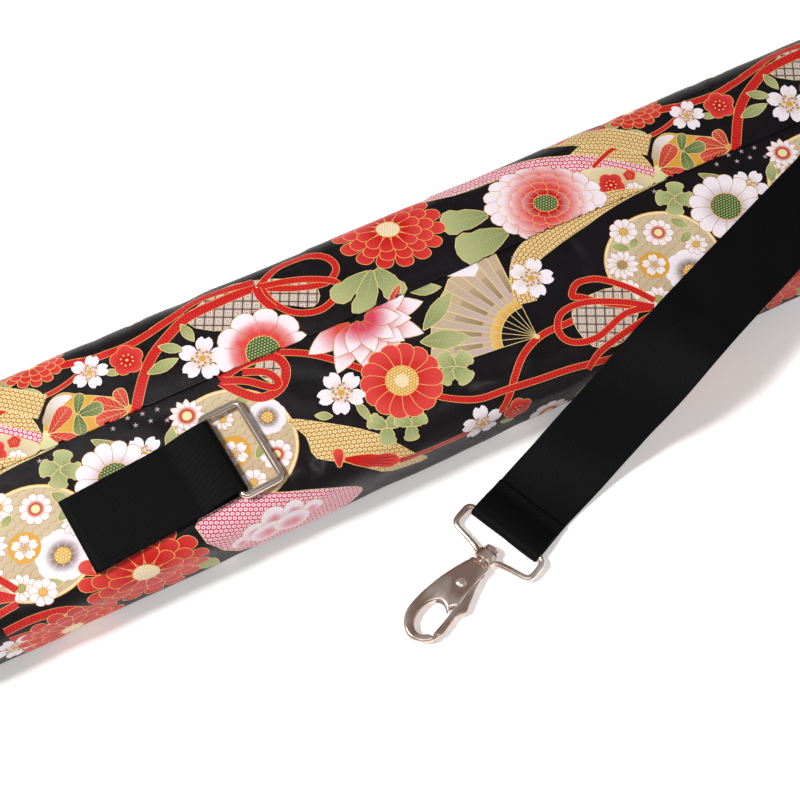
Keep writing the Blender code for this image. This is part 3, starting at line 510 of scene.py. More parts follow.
def rear_motifs():
    """One repeat of the print above the fly's edge: X -262 to 62, Y 12 to 78."""
    p = Print()
    # the leaf-shaped motif with red and green leaflets
    blob = [(-240, 11), (-234, 21), (-231, 28), (-226, 34), (-219, 35.5), (-212, 31), (-204, 26), (-198, 22),
            (-193, 15), (-190, 6), (-212, 2), (-232, 3)]
    patch(p, blob, "mustard", "mustard", PLAIN, (1, 1))
    p.add(smooth([(-233, 25), (-230, 30), (-225, 34.5), (-219, 34.5), (-216, 32), (-223, 29), (-229, 22)], 3,
                 True), "white", "beige", (-219, 34), (0, 14))
    p.add(smooth([(-239, 11), (-234, 21), (-230, 17), (-227, 8), (-234, 5)], 3, True), "light_green", "cream",
          (-234, 8), (0, 14))
    for x0, y0, x1, y1, w in ((-232, 19, -219, 28, 8), (-232, 18, -222, 9, 7.5), (-196, 15, -209, 25, 8),
                              (-196, 14, -211, 15, 7), (-195, 16, -196, 26, 6)):
        leaf(p, x0, y0, x1, y1, w, "red", "coral", "pale_gold", "round")
    for x0, y0, x1, y1, w in ((-217, 22, -205, 21, 7), (-217, 22, -219, 12, 6.5), (-217, 23, -212, 32, 5)):
        leaf(p, x0, y0, x1, y1, w, "dark_green", "green", "pale_gold", "round")
    daisy(p, -213, 7, 5, 8)
    # to its left: kanoko ribbons and the beige fan
    kanoko(p, [(-272, 43), (-258, 48), (-246, 41), (-237, 31), (-236, 16), (-243, 24), (-254, 31),
               (-270, 34)], "ochre", "cream", -30)
    kanoko_ribbon(p, [(-372, 66), (-350, 60), (-331, 54), (-307, 53), (-284, 46), (-266, 38), (-252, 27),
                      (-239, 15)], "rose", "white", [(0, 5), (0.4, 8), (0.7, 10), (1, 13)])
    fan_beige(p, -258, 12)
    kanoko_ribbon(p, [(-324, -4), (-310, 5), (-298, 10), (-280, 14), (-262, 15), (-244, 11)], "ochre",
                  "cream", [(0, 11), (0.6, 10), (1, 2)])
    # cords and bow with lattice
    lattice(p, [(-153, 44), (-137, 31), (-122, 35), (-110, 33), (-96, 25), (-90, 32), (-98, 42), (-114, 50),
                (-131, 54)])
    cord(p, [(-116, 47), (-135, 47), (-152, 46), (-164, 41), (-174, 35), (-181, 28), (-187, 20), (-195, 8)],
         4.6)
    cord(p, [(-116, 50), (-141, 53), (-160, 49), (-181, 45), (-200, 46), (-220, 50), (-246, 53), (-262, 58)],
         3.4)
    cord(p, [(-262, 34), (-248, 39), (-234, 38), (-222, 38), (-210, 41), (-200, 46)], 2.0)
    cord(p, [(-115, 46), (-103, 52), (-89, 52), (-79, 47), (-77, 39), (-85, 34), (-100, 38), (-114, 45)])
    cord(p, [(-114, 45), (-112, 35), (-105, 26), (-94, 22), (-84, 25), (-80, 31), (-85, 36), (-98, 42),
             (-114, 46)])
    cord(p, [(-116, 46), (-116, 40), (-113, 32)], 4)
    # pink-white daisy with the green dotted middle, blossoms, leaves
    petals(p, -127, 14, 10, 5, 22.5, 6.0, "round", "coral", "white", 26, rim="ochre", line=0.3, mode=SPECKLE,
           second="white", fade=(0.42, 0.80))
    dotted_centre(p, -127, 14, 8)
    leaves(p, (-180, 27, -164, 28, 6), (-170, 38, -160, 31, 5), (-156, 44, -154, 33, 5))
    blossom(p, -154, 23, 11.5, 60)
    leaf(p, -198, 37, -191, 33, 3.5)
    blossom(p, -204, 40, 9, 130)
    plum(p, -186, 38, 8, 10)
    leaves(p, (-240, 44, -228, 40, 6), (-244, 50, -234, 56, 7))
    mum_red(p, -228, 58, 17, 0.8)
    # red chrysanthemum, leaves, and the large pink one with a white scalloped edge
    leaf(p, -64, 30, -86, 24, 11, kind="lobe")
    leaf(p, -62, 30, -78, 9, 12, kind="lobe")
    leaf(p, -60, 30, -56, 11, 12, kind="lobe")
    leaf(p, -64, 8, -53, 18, 4, "red", "coral")
    leaf(p, 2, 33, -21, 38, 14, kind="lobe")
    leaf(p, 6, 20, -21, 20, 18, kind="lobe")
    mum_red(p, -45, 47.5, 28, 0.78)
    for count, r0, r1, wide, turn, ink, fade in ((18, 8, 31, 6.2, 5, "coral", (0.30, 0.80)),
                                                 (16, 6, 24.5, 4.8, 14, "coral", (0.35, 1.0)),
                                                 (14, 5, 18, 3.9, 0, "coral", (0.45, 1.3)),
                                                 (11, 4, 12, 3.3, 12, "red", (0.4, 1.9))):
        petals(p, 31, 26, count, r0, r1, wide, "round", ink, "white", turn, 0.70, 0.3,
               "gold" if count < 18 else "ochre", SPECKLE, "white", fade)
    dotted_centre(p, 31, 26, 6, flat=0.8)
    leaf(p, 12, 66, 26, 70, 6)
    kanoko_ribbon(p, [(49, 61), (62, 54), (78, 46), (94, 33)], "ochre", "cream", [(0, 8), (0.6, 11), (1, 12)])
    leaf(p, 62, 56, 47, 60, 6, "red", "coral")
    blossom(p, -6, 68, 10, 10)
    clover(p, -80, 70, 9, 30)
    blossom(p, -140, 68, 10, 40)
    daisy(p, -176, 66, 10, 10, "red")
    return p


def fan_beige(p, x, y):
    """The half-hidden beige fan with a red plum flower."""
    outline = smooth([(x - 12, y + 22), (x + 2, y + 19), (x + 14, y + 10), (x + 20, y + 2), (x + 6, y - 2),
                      (x - 12, y + 3), (x - 22, y + 10)], 3, True)
    p.add(np.array(outline) + (0, 0.3), "pale_gold")
    p.add(outline, "beige", "cream", (x, y), (8, 26))
    plum(p, x - 1, y + 9, 7, 30)
    plum(p, x + 10, y + 10, 3.2, 0)
    daisy(p, x + 8, y + 1, 5, 8)


def whole_print(low, high, front):
    """The print over the whole length, for cloth Y from low to high, in rows that step along."""
    f, r = front_motifs(), rear_motifs()
    rows = ([(f, 0, 0), (r, -178, 150), (f, -180, 110), (r, -358, 40)] if front
            else [(r, 0, 0), (f, 178, 150), (r, 180, 60), (f, 358, 0)])
    made = Print()
    for shapes, dy, dx in rows:
        for column in range(3, -3, -1):
            moved = shapes.placed(REPEAT * column + dx, dy)
            for q, paint in zip(moved.points, moved.paint):
                (x0, y0), (x1, y1) = q.min(axis=0), q.max(axis=0)
                if y1 > low and y0 < high and x1 > -545 and x0 < 545:
                    made.points.append(q)
                    made.paint.append(paint)
    return made


# ---------------------------------------------------------------- the shape of the case
def ease(x, span):
    t = np.clip((x - span[0]) / (span[1] - span[0]), 0, 1)
    return t * t * (3 - 2 * t)


def end_rounding(x, amount):
    return amount * np.maximum(0, 1 - (HALF_LENGTH - np.abs(x)) / 0.045) ** 2


def half_width(x):
    return 0.095 - 0.034 * ease(x, HEAD_FLARE) + 0.057 * ease(x, BODY_FLARE) - end_rounding(x, 0.014)


def height(x):
    return 0.050 + 0.062 * ease(x, BODY_FLARE) - end_rounding(x, 0.008)


def top_radius(x):
    return 0.015 + 0.012 * ease(x, BODY_FLARE)


def girth(x):
    """Cloth from the centre line, over the shoulder and down to the underside's seam."""
    r = top_radius(x)
    return half_width(x) - r + math.pi / 2 * (r + BOTTOM_RADIUS) + height(x) - r - BOTTOM_RADIUS


def wrinkles(x, q):
    """Soft dents of the padded cloth, from -1.1 mm to 0.1 mm."""
    a = np.sin(61 * x + 2.1 * np.sin(38 * q + 0.6) + 0.4) * np.sin(47 * q + 1.6 * np.sin(33 * x) + 1.1)
    b = np.sin(118 * x - 90 * q + 1.4 * np.sin(52 * x + 2.0)) * np.sin(23 * x + 1.2)
    c = np.sin(210 * x + 160 * q + 2.2 * np.sin(70 * q)) * np.sin(41 * x - 30 * q)
    return -0.00050 + 0.00034 * a + 0.00022 * b + 0.00013 * c


# Soft creases pressed into the cloth: x, cloth y, direction, length, width, depth.
CREASES = [(-0.208, 0.034, 58, 0.016, 0.0042, 0.0014), (-0.196, 0.050, 75, 0.014, 0.0036, 0.0012),
           (-0.226, 0.024, 40, 0.014, 0.0040, 0.0012), (-0.150, 0.058, 30, 0.018, 0.0045, 0.0013),
           (-0.088, 0.060, 62, 0.015, 0.0040, 0.0012), (-0.020, 0.058, 110, 0.015, 0.0040, 0.0011),
           (0.052, 0.046, 68, 0.017, 0.0042, 0.0014), (0.085, 0.060, 35, 0.015, 0.0045, 0.0012),
           (0.140, 0.050, 100, 0.016, 0.0042, 0.0013), (-0.228, -0.002, 60, 0.013, 0.0036, 0.0011),
           (-0.090, -0.060, 20, 0.020, 0.0045, 0.0012), (-0.040, -0.052, 150, 0.016, 0.0040, 0.0011),
           (0.030, -0.008, 80, 0.014, 0.0040, 0.0011), (-0.132, -0.052, 70, 0.014, 0.0038, 0.0012),
           (-0.300, 0.030, 65, 0.017, 0.0042, 0.0013), (-0.370, -0.020, 40, 0.018, 0.0045, 0.0013),
           (0.290, -0.040, 55, 0.020, 0.0050, 0.0014), (0.360, 0.070, 120, 0.022, 0.0055, 0.0014)]


def creases(x, v):
    depth = 0 * x
    for cx, cy, angle, long, wide, deep in CREASES:
        c, s = math.cos(math.radians(angle)), math.sin(math.radians(angle))
        along, across = (x - cx) * c + (v - cy) * s, (v - cy) * c - (x - cx) * s
        fold = 0.55 * np.exp(-((across + wide) / wide) ** 2) - np.exp(-(across / wide) ** 2)
        depth = depth + deep * np.exp(-(along / long) ** 2) * fold
    return depth


def outline_point(x, q, side, out):
    """A point of the wall: q is the cloth from the centre line; out lifts it off the surface."""
    wide, tall, r, low = half_width(x), height(x), top_radius(x), BOTTOM_RADIUS
    s0 = wide - r
    s1 = s0 + math.pi / 2 * r
    s2 = s1 + tall - r - low
    a = np.clip((q - s0) / r, 0, math.pi / 2)
    b = np.clip((q - s2) / low, 0, math.pi / 2)
    y = np.where(q < s0, q, np.where(q < s2, s0 + r * np.sin(a), wide - low + low * np.cos(b)))
    wall = np.where(q < s2, tall - r - (q - s1), low - low * np.sin(b))
    z = np.where(q < s1, tall - r + r * np.cos(a), wall)
    ny = np.where(q < s2, np.sin(a), np.cos(b))
    nz = np.where(q < s1, np.cos(a), np.where(q < s2, 0.0, -np.sin(b)))
    return np.stack((x, side * (y + ny * out), z + nz * out), axis=-1)


def wall_surface(side):
    slot = side * (ZIP_Y + side * 0.007)

    def at(x, v):
        q = side * v
        fade = np.clip((girth(x) - q) / 0.02, 0, 1)
        out = (wrinkles(x, v) + 0.8 * creases(x, v)) * fade * np.clip((q - slot) / 0.008, 0.15, 1)
        if side < 0:  # flat under the edge of the fly
            out = out * (1 - 0.85 * np.exp(-((v - 0.0125) / 0.009) ** 2))
        else:  # up onto the hem of the fly
            hem = ease(q, (0.0462, 0.0492)) * (1 - ease(q, (0.054, 0.072)))
            along = ease(x, (FLY_X[0] - 0.003, FLY_X[0])) * (1 - ease(x, (FLY_X[1], FLY_X[1] + 0.003)))
            out = out + (0.0016 - out * 0.6) * hem * along
        shell = outline_point(x, np.maximum(q, slot), side, out)
        over = np.maximum(slot - q, 0)
        a = np.clip(over / 0.0006, 0, math.pi)
        shell[..., 1] += -side * (0.0006 * np.sin(a) - np.maximum(over - 0.0006 * math.pi, 0))
        shell[..., 2] -= 0.0006 * (1 - np.cos(a))
        return shell
    return at


def fly_surface(x, v):
    """The fly: over the top, round its front fold, and back underneath."""
    edge, r = 0.0120, 0.0004
    top = 0.0515 + 0.00012 * np.sin(70 * x + 90 * v) + 0.00022 * np.sin(38 * x + 0.8) * np.sin(60 * v)
    top = top + 0.5 * creases(x, v) * ease(v, (0.013, 0.020))
    top = top - 0.0006 * (1 - ease(v, (0.012, 0.022))) - 0.0006 * ease(v, (0.0475, 0.0495))
    over = np.maximum(edge + r - v, 0)
    a = np.clip(over / r, 0, math.pi)
    wave = 0.00035 * np.sin(24 * x + 1.0) + 0.00018 * np.sin(71 * x)
    y = np.where(over > 0, edge + r - r * np.sin(a) + np.maximum(over - r * math.pi, 0), v)
    y = y + wave * (1 - ease(y, (0.012, 0.035)))
    z = top - r * (1 - np.cos(a))
    return np.stack((x, y, z), axis=-1)


def bottom_surface(x, v):
    return np.stack((x, v, 0.0002 + 0 * x), axis=-1)


def end_surface(sign):
    """An end panel: v is Y, u is Z, so the cloth is laid on the end of the case."""
    def at(u, v):
        rise = 0.0008 * np.sin(math.pi * np.clip(u / 0.1, 0, 1)) * np.cos(v * 12)
        return np.stack((sign * (0.5394 + rise + 0 * u), v, u), axis=-1)
    return at


# ---------------------------------------------------------------- cloth pieces
def paint_colours(shapes, corners, which):
    """Per corner: ink, second ink, pattern place, kind."""
    rows = np.array(shapes.paint)[which]
    x, y = corners[:, 0], corners[:, 1]
    reach = np.hypot(x - rows[:, 6], y - rows[:, 7])
    g = np.clip((reach - rows[:, 8]) / np.maximum(rows[:, 9] - rows[:, 8], 1e-6), 0, 1)[:, None]
    ink = rows[:, 0:3] + (rows[:, 3:6] - rows[:, 0:3]) * g
    c, s = np.cos(rows[:, 16]), np.sin(rows[:, 16])
    dx, dy = x - rows[:, 14], y - rows[:, 15]
    place = np.stack(((dx * c + dy * s) / rows[:, 17], (-dx * s + dy * c) / rows[:, 18], g[:, 0]), axis=-1)
    return ink, rows[:, 10:13], place, rows[:, 13]


def topmost(spots, polygons):
    """Index of the last polygon that holds each spot, or -1 outside the first one."""
    order = np.argsort(spots[:, 0])
    xs, ys = spots[order, 0], spots[order, 1]
    found = np.full(len(spots), -1)
    for index, q in enumerate(polygons):
        i, j = np.searchsorted(xs, (q[:, 0].min(), q[:, 0].max()))
        near_by = np.nonzero((ys[i:j] >= q[:, 1].min()) & (ys[i:j] <= q[:, 1].max()))[0] + i
        if not len(near_by):
            continue
        x, y = xs[near_by][:, None], ys[near_by][:, None]
        x0, y0 = q[:, 0], q[:, 1]
        x1, y1 = np.roll(x0, -1), np.roll(y0, -1)
        span = np.where(y1 == y0, 1e-12, y1 - y0)
        crossed = ((y0 > y) != (y1 > y)) & (x < (x1 - x0) * (y - y0) / span + x0)
        inside = near_by[crossed.sum(axis=1) % 2 == 1]
        found[inside if index == 0 else inside[found[inside] >= 0]] = index
    top = np.empty(len(spots), int)
    top[order] = found
    return top


def cloth_piece(name, boundary, rows, columns, shapes, surface, flip, material):
    """Triangulates a panel with its print, lays it on surface, and paints its corners."""
    base = Print()
    base.add(boundary, "ground", kind=GROUND)
    base.extend(shapes)
    verts, edges = [], []
    for q in base.points:
        first, count = len(verts), len(q)
        verts += [Vector(p) for p in q.tolist()]
        edges += [(first + k, first + (k + 1) % count) for k in range(count)]
    verts += [Vector((x, y)) for x in columns for y in rows]
    out, _, tris, _, _, _ = delaunay_2d_cdt(verts, edges, [], 0, 0.002, False)
    flat = np.array([tuple(v) for v in out])
    tris = np.array(tris, dtype=int)
    top = topmost(flat[tris].mean(axis=1), base.points)
    tris, top = tris[top >= 0], top[top >= 0]
    used, tris = np.unique(tris, return_inverse=True)
    tris = tris.reshape(-1, 3)
    flat = flat[used]
    x, v = flat[:, 0] / 1000, flat[:, 1] / 1000
    spot = surface(x, v)
    e = 0.0004
    normal = np.cross(surface(x + e, v) - surface(x - e, v), surface(x, v + e) - surface(x, v - e))
    normal /= np.linalg.norm(normal, axis=1)[:, None] + 1e-12
    if flip:
        tris, normal = tris[:, ::-1], -normal
    mesh = bpy.data.meshes.new(name)
    mesh.from_pydata(spot.tolist(), [], tris.tolist())
    mesh.polygons.foreach_set("use_smooth", np.ones(len(tris), bool))
    mesh.normals_split_custom_set_from_vertices(normal.tolist())
    corner = tris.reshape(-1)
    ink, second, place, kind = paint_colours(base, flat[corner], np.repeat(top, 3))
    one = np.ones((len(corner), 1))
    for label, kind_of, key, values in (("ink", "FLOAT_COLOR", "color", np.hstack((ink, one))),
                                        ("ink2", "FLOAT_COLOR", "color", np.hstack((second, one))),
                                        ("place", "FLOAT_VECTOR", "vector", place),
                                        ("kind", "FLOAT", "value", kind)):
        mesh.attributes.new(label, kind_of, "CORNER").data.foreach_set(key, values.astype(np.float32).ravel())
    mesh.uv_layers.new(name="cloth").data.foreach_set("uv", flat[corner].astype(np.float32).ravel())
    mesh.materials.append(material)
    item = bpy.data.objects.new(name, mesh)
    bpy.context.scene.collection.objects.link(item)
    return item


# ---------------------------------------------------------------- materials
class Graph:
    """Short ways to wire shader nodes."""

    def __init__(self, name):
        self.material = bpy.data.materials.new(name)
        self.material.use_nodes = True
        self.tree = self.material.node_tree
        self.shader = self.tree.nodes["Principled BSDF"]

    def node(self, kind, **settings):
        made = self.tree.nodes.new(kind)
        for key, value in settings.items():
            setattr(made, key, value)
        return made

    def put(self, value, socket):
        if isinstance(value, bpy.types.NodeSocket):
            self.tree.links.new(value, socket)
        else:
            socket.default_value = value

    def math(self, operation, a, b=0.0, c=0.0):
        made = self.node("ShaderNodeMath", operation=operation)
        for value, socket in zip((a, b, c), made.inputs):
            self.put(value, socket)
        return made.outputs[0]

    def mix(self, factor, a, b, blend="MIX"):
        made = self.node("ShaderNodeMix", data_type="RGBA", blend_type=blend)
        self.put(factor, made.inputs[0])
        for value, socket in ((a, made.inputs[6]), (b, made.inputs[7])):
            self.put((*value, 1.0) if isinstance(value, tuple) and len(value) == 3 else value, socket)
        return made.outputs[2]

    def attribute(self, name, output="Color"):
        return self.node("ShaderNodeAttribute", attribute_name=name).outputs[output]

    def noise(self, vector, scale, detail=3.0, roughness=0.5, output="Fac"):
        made = self.node("ShaderNodeTexNoise")
        self.put(vector, made.inputs["Vector"])
        made.inputs["Scale"].default_value = scale
        made.inputs["Detail"].default_value = detail
        made.inputs["Roughness"].default_value = roughness
        return made.outputs[output]

    def axis(self, vector, which):
        made = self.node("ShaderNodeSeparateXYZ")
        self.put(vector, made.inputs[0])
        return made.outputs[which]

    def remap(self, value, low, high, to_low, to_high):
        made = self.node("ShaderNodeMapRange")
        for v, socket in zip((value, low, high, to_low, to_high), made.inputs):
            self.put(v, socket)
        return made.outputs[0]

    def scaled(self, vector, by):
        made = self.node("ShaderNodeVectorMath", operation="MULTIPLY")
        self.put(vector, made.inputs[0])
        made.inputs[1].default_value = by
        return made.outputs[0]

    def bump(self, heights, strength, distance):
        made = self.node("ShaderNodeBump")
        self.put(heights, made.inputs["Height"])
        made.inputs["Strength"].default_value = strength
        made.inputs["Distance"].default_value = distance
        self.tree.links.new(made.outputs[0], self.shader.inputs["Normal"])

    def set(self, **values):
        for key, value in values.items():
            self.put((*value, 1.0) if isinstance(value, tuple) and len(value) == 3 else value,
                     self.shader.inputs[key.replace("_", " ")])
        return self.material

    def here(self):
        return self.node("ShaderNodeTexCoord").outputs["Object"]


def printed_cloth():
    """Screen-printed satin: the shapes' inks, with the fine patterns worked out here."""
    g = Graph("printed_cloth")
    place = g.node("ShaderNodeSeparateXYZ")
    g.put(g.attribute("place", "Vector"), place.inputs[0])
    u, v, fade = place.outputs
    kind = g.attribute("kind", "Fac")
    cloth = g.node("ShaderNodeUVMap", uv_map="cloth").outputs[0]

    def is_kind(k):
        return g.math("COMPARE", kind, float(k), 0.4)

    def band_of(value, low, high):
        return g.math("MULTIPLY", g.math("GREATER_THAN", value, low), g.math("LESS_THAN", value, high))

    row = g.math("FLOOR", v)
    cell_u = g.math("SUBTRACT", g.math("FRACT", g.math("ADD", u, g.math("MULTIPLY", row, 0.5))), 0.5)
    cell_v = g.math("SUBTRACT", g.math("FRACT", v), 0.5)
    away = g.math("SQRT", g.math("ADD", g.math("MULTIPLY", cell_u, cell_u),
                                 g.math("MULTIPLY", cell_v, cell_v)))
    kanoko = band_of(away, 0.17, 0.40)
    dots = g.math("LESS_THAN", away, 0.30)
    chevron = g.math("FRACT", g.math("ADD", u, g.math("MULTIPLY", g.math("ABSOLUTE", v), 0.7)))
    braid = g.math("LESS_THAN", chevron, 0.15)
    plain_u = g.math("ABSOLUTE", g.math("SUBTRACT", g.math("FRACT", u), 0.5))
    plain_v = g.math("ABSOLUTE", g.math("SUBTRACT", g.math("FRACT", v), 0.5))
    frame_of = g.math("MAXIMUM", plain_u, plain_v)
    lattice = g.math("MAXIMUM", g.math("GREATER_THAN", frame_of, 0.40),
                     g.math("MAXIMUM", band_of(frame_of, 0.27, 0.32), band_of(frame_of, 0.08, 0.14)))
    crossing = g.math("GREATER_THAN", g.math("MINIMUM", plain_u, plain_v), 0.36)
    lattice = g.math("MAXIMUM", lattice, crossing)
    grain = g.noise(cloth, 2.6, 2.0, 0.7)
    speckle = g.math("GREATER_THAN", g.math("ADD", g.math("MULTIPLY", fade, 0.62), 0.12), grain)
    speckle = g.math("MULTIPLY", speckle, 0.75)
    rib = g.math("LESS_THAN", g.math("ABSOLUTE", v), 0.16)
    slant = g.math("SUBTRACT", u, g.math("ABSOLUTE", v))
    vein = g.math("LESS_THAN", g.math("FRACT", g.math("DIVIDE", slant, 2.1)), 0.11)
    veins = g.math("MULTIPLY", g.math("MAXIMUM", rib, vein), 0.75)
    scale_away = g.math("SQRT", g.math("ADD", g.math("MULTIPLY", cell_u, cell_u),
                                       g.math("MULTIPLY", g.math("FRACT", v), g.math("FRACT", v))))
    scales = g.math("MULTIPLY", band_of(scale_away, 0.50, 0.57), 0.8)
    mask = 0.0
    for k, one in ((KANOKO, kanoko), (BRAID, braid), (LATTICE, lattice), (SPECKLE, speckle), (DOTS, dots),
                   (VEINS, veins), (SCALES, scales)):
        part = g.math("MULTIPLY", is_kind(k), one)
        mask = part if mask == 0.0 else g.math("ADD", mask, part)
    colour = g.mix(mask, g.attribute("ink"), g.attribute("ink2"))
    ground = is_kind(GROUND)
    cloudy = g.noise(cloth, 0.035, 3.0, 0.6)
    bloom = g.math("MULTIPLY", g.remap(cloudy, 0.35, 0.75, 0.0, 1.0), g.math("MULTIPLY", ground, 0.5))
    colour = g.mix(bloom, colour, linear((26, 18, 24)))
    tone = g.remap(g.noise(cloth, 0.9, 4.0, 0.6), 0.3, 0.7, 0.93, 1.05)
    colour = g.mix(1.0, colour, tone, "MULTIPLY")
    warp = g.math("SINE", g.math("MULTIPLY", g.axis(cloth, 0), 2 * math.pi / 0.42))
    weft = g.math("SINE", g.math("MULTIPLY", g.axis(cloth, 1), 2 * math.pi / 0.42))
    crease = g.noise(cloth, 0.07, 1.5, 0.5)
    raised = g.math("MULTIPLY", g.math("SUBTRACT", 1.0, ground), 0.35)
    weave = g.math("MULTIPLY", g.math("MULTIPLY", warp, weft), 0.25)
    heights = g.math("ADD", g.math("ADD", weave, g.math("MULTIPLY", crease, 6.0)), raised)
    g.bump(heights, 0.35, 0.0004)
    rubbed = g.remap(g.axis(g.here(), 2), 0.0, 0.045, 0.24, 0.0)
    rough = g.math("ADD", g.remap(g.noise(cloth, 0.16, 3.0), 0.3, 0.7, 0.25, 0.36), rubbed)
    return g.set(Base_Color=colour, Roughness=rough, Specular_IOR_Level=0.15)


def webbing(name, base=(1, 1, 1), light=(6, 6, 7)):
    """Woven tape: the twill follows the run and width kept with each point, in millimetres."""
    g = Graph(name)
    run = g.attribute("run", "Vector")
    along, across = g.axis(run, 0), g.axis(run, 1)
    slant = g.math("ADD", along, g.math("MULTIPLY", across, 0.85))
    twill = g.math("SINE", g.math("MULTIPLY", slant, 2 * math.pi))
    thread = g.math("SINE", g.math("MULTIPLY", across, 2 * math.pi / 0.8))
    knot = g.math("MULTIPLY", g.math("SINE", g.math("MULTIPLY", along, 2 * math.pi / 0.9)), thread)
    heights = g.math("ADD", g.math("MULTIPLY", twill, 0.5), g.math("MULTIPLY", knot, 0.35))
    fuzz = g.noise(run, 1.4, 4.0, 0.7)
    # painted highlight and painted shade: the raised twill and knots are painted lighter and the grooves
    # between them darker, mixed with random fuzz
    painted_weave_shade = g.remap(g.math("ADD", heights, g.math("MULTIPLY", fuzz, 0.8)), -0.4, 1.2, 0.0, 1.0)
    g.bump(heights, 0.45, 0.00018)
    return g.set(Base_Color=g.mix(painted_weave_shade, linear(base), linear(light)),
                 Roughness=g.remap(fuzz, 0.3, 0.7, 0.55, 0.72), Specular_IOR_Level=0.09)


def metal(name, colour, rough=0.12, worn=0.12, painted_reflection_colour=None):
    """Nickel plate. With a darker colour given, soft bands of that colour are painted over the plate as
    painted reflections of a dim room.
    """
    g = Graph(name)
    here = g.here()
    smear = g.noise(here, 140.0, 4.0, 0.6)
    fine = g.noise(g.scaled(here, (1.0, 1.0, 3.0)), 900.0, 3.0, 0.6)
    g.bump(g.math("ADD", g.math("MULTIPLY", smear, 0.5), g.math("MULTIPLY", fine, 0.03)), 0.02, 0.0002)
    plate = g.mix(g.remap(smear, 0.4, 0.7, 0.0, 1.0), linear(colour), linear(tuple(c * 0.92 for c in colour)))
    if painted_reflection_colour:
        # painted reflection: noise bands blend in the darker colour where a dim room would mirror in the
        # plate
        painted_reflection_bands = g.noise(g.scaled(here, (1.0, 2.0, 1.6)), 48.0, 1.5, 0.5)
        plate = g.mix(g.remap(painted_reflection_bands, 0.36, 0.60, 0.0, 1.0), plate, linear(painted_reflection_colour))
    return g.set(Base_Color=plate,
                 Metallic=0.88, Roughness=g.remap(smear, 0.3, 0.75, rough, rough + worn))


def foam_material():
    g = Graph("foam")
    here = g.here()
    cells = g.node("ShaderNodeTexVoronoi")
    g.put(here, cells.inputs["Vector"])
    cells.inputs["Scale"].default_value = 900.0
    g.bump(cells.outputs["Distance"], 0.5, 0.0006)
    return g.set(Base_Color=g.mix(g.noise(here, 60.0), linear((214, 208, 190)), linear((196, 188, 168))),
                 Roughness=g.remap(cells.outputs["Distance"], 0, 1, 0.85, 1.0))


def fabric(name, base, light, pitch=0.0006, rough=(0.6, 0.8), sheen=0.2):
    g = Graph(name)
    here = g.here()
    pile = g.noise(here, 0.35 / pitch, 4.0, 0.7)
    soft = g.noise(here, 30.0, 3.0)
    g.bump(pile, 0.5, 0.0004)
    mottle = g.math("ADD", g.math("MULTIPLY", pile, 0.6), g.math("MULTIPLY", soft, 0.4))
    return g.set(Base_Color=g.mix(g.remap(mottle, 0.3, 0.7, 0.0, 1.0), linear(base), linear(light)),
                 Roughness=g.remap(soft, 0.3, 0.7, *rough), Specular_IOR_Level=0.15, Sheen_Weight=sheen,
                 Sheen_Roughness=0.5)


# ---------------------------------------------------------------- small builders
def new_object(name, mesh, material, smooth_faces=True):
    if material:
        mesh.materials.append(material)
    if smooth_faces:
        mesh.polygons.foreach_set("use_smooth", [True] * len(mesh.polygons))
    item = bpy.data.objects.new(name, mesh)
    bpy.context.scene.collection.objects.link(item)
    return item


def from_bmesh(name, bm, material, smooth_faces=True):
    bmesh.ops.recalc_face_normals(bm, faces=bm.faces)
    mesh = bpy.data.meshes.new(name)
    bm.to_mesh(mesh)
    bm.free()
    return new_object(name, mesh, material, smooth_faces)


def ribbon_mesh(name, path, material, sway=0.0):
    """Webbing through (middle, across) pairs: rounded selvedges, slight ripple, run attribute."""
    per = 5
    mids = smooth([list(m) for m, _ in path], per)
    sides = smooth([list(a) for _, a in path], per)
    mids = np.array(mids)
    sides = np.array(sides)
    sides /= np.linalg.norm(sides, axis=1)[:, None]
    keep = [0]
    for i in range(1, len(mids)):
        if np.linalg.norm(mids[i] - mids[keep[-1]]) > 0.00035:
            keep.append(i)
    mids, sides = mids[keep], sides[keep]
    tangent = np.gradient(mids, axis=0)
    tangent /= np.linalg.norm(tangent, axis=1)[:, None]
    ups = np.cross(tangent, sides)
    ups /= np.linalg.norm(ups, axis=1)[:, None]
    run = np.concatenate(([0], np.cumsum(np.linalg.norm(np.diff(mids, axis=0), axis=1))))
    w, t = WEB_WIDTH / 2, WEB / 2
    marks = [-1, -0.985, -0.955, -0.93, -0.75, -0.5, -0.25, 0, 0.25, 0.5, 0.75, 0.93, 0.955, 0.985, 1]
    full = [0.0, 0.62, 0.95, 0.86, 0.92, 0.96, 0.98, 1, 0.98, 0.96, 0.92, 0.86, 0.95, 0.62, 0.0]
    section = [(w * m, t * f) for m, f in zip(marks, full)]
    section += [(w * m, -t * f) for m, f in zip(marks[-2:0:-1], full[-2:0:-1])]
    count = len(section)
    verts, place = [], []
    for i in range(len(mids)):
        for across, up in section:
            ripple = math.sin(run[i] * 150 + 2.2 * math.sin(across * 120))
            ripple *= sway * math.sin(run[i] * 47 + across * 90)
            verts.append(mids[i] + sides[i] * across + ups[i] * (up + ripple))
            place.append((run[i] * 1000, across * 1000, up * 1000))
    faces = []
    for i in range(len(mids) - 1):
        for k in range(count):
            j = (k + 1) % count
            faces.append((i * count + k, i * count + j, (i + 1) * count + j, (i + 1) * count + k))
    last = (len(mids) - 1) * count
    faces.append(tuple(range(count)))
    faces.append(tuple(last + k for k in reversed(range(count))))
    mesh = bpy.data.meshes.new(name)
    mesh.from_pydata([tuple(q) for q in verts], [], faces)
    run_of = mesh.attributes.new("run", "FLOAT_VECTOR", "POINT")
    run_of.data.foreach_set("vector", np.array(place, np.float32).ravel())
    bm = bmesh.new()
    bm.from_mesh(mesh)
    bmesh.ops.recalc_face_normals(bm, faces=bm.faces)
    bm.to_mesh(mesh)
    bm.free()
    item = new_object(name, mesh, material)
    return item, float(run[-1])


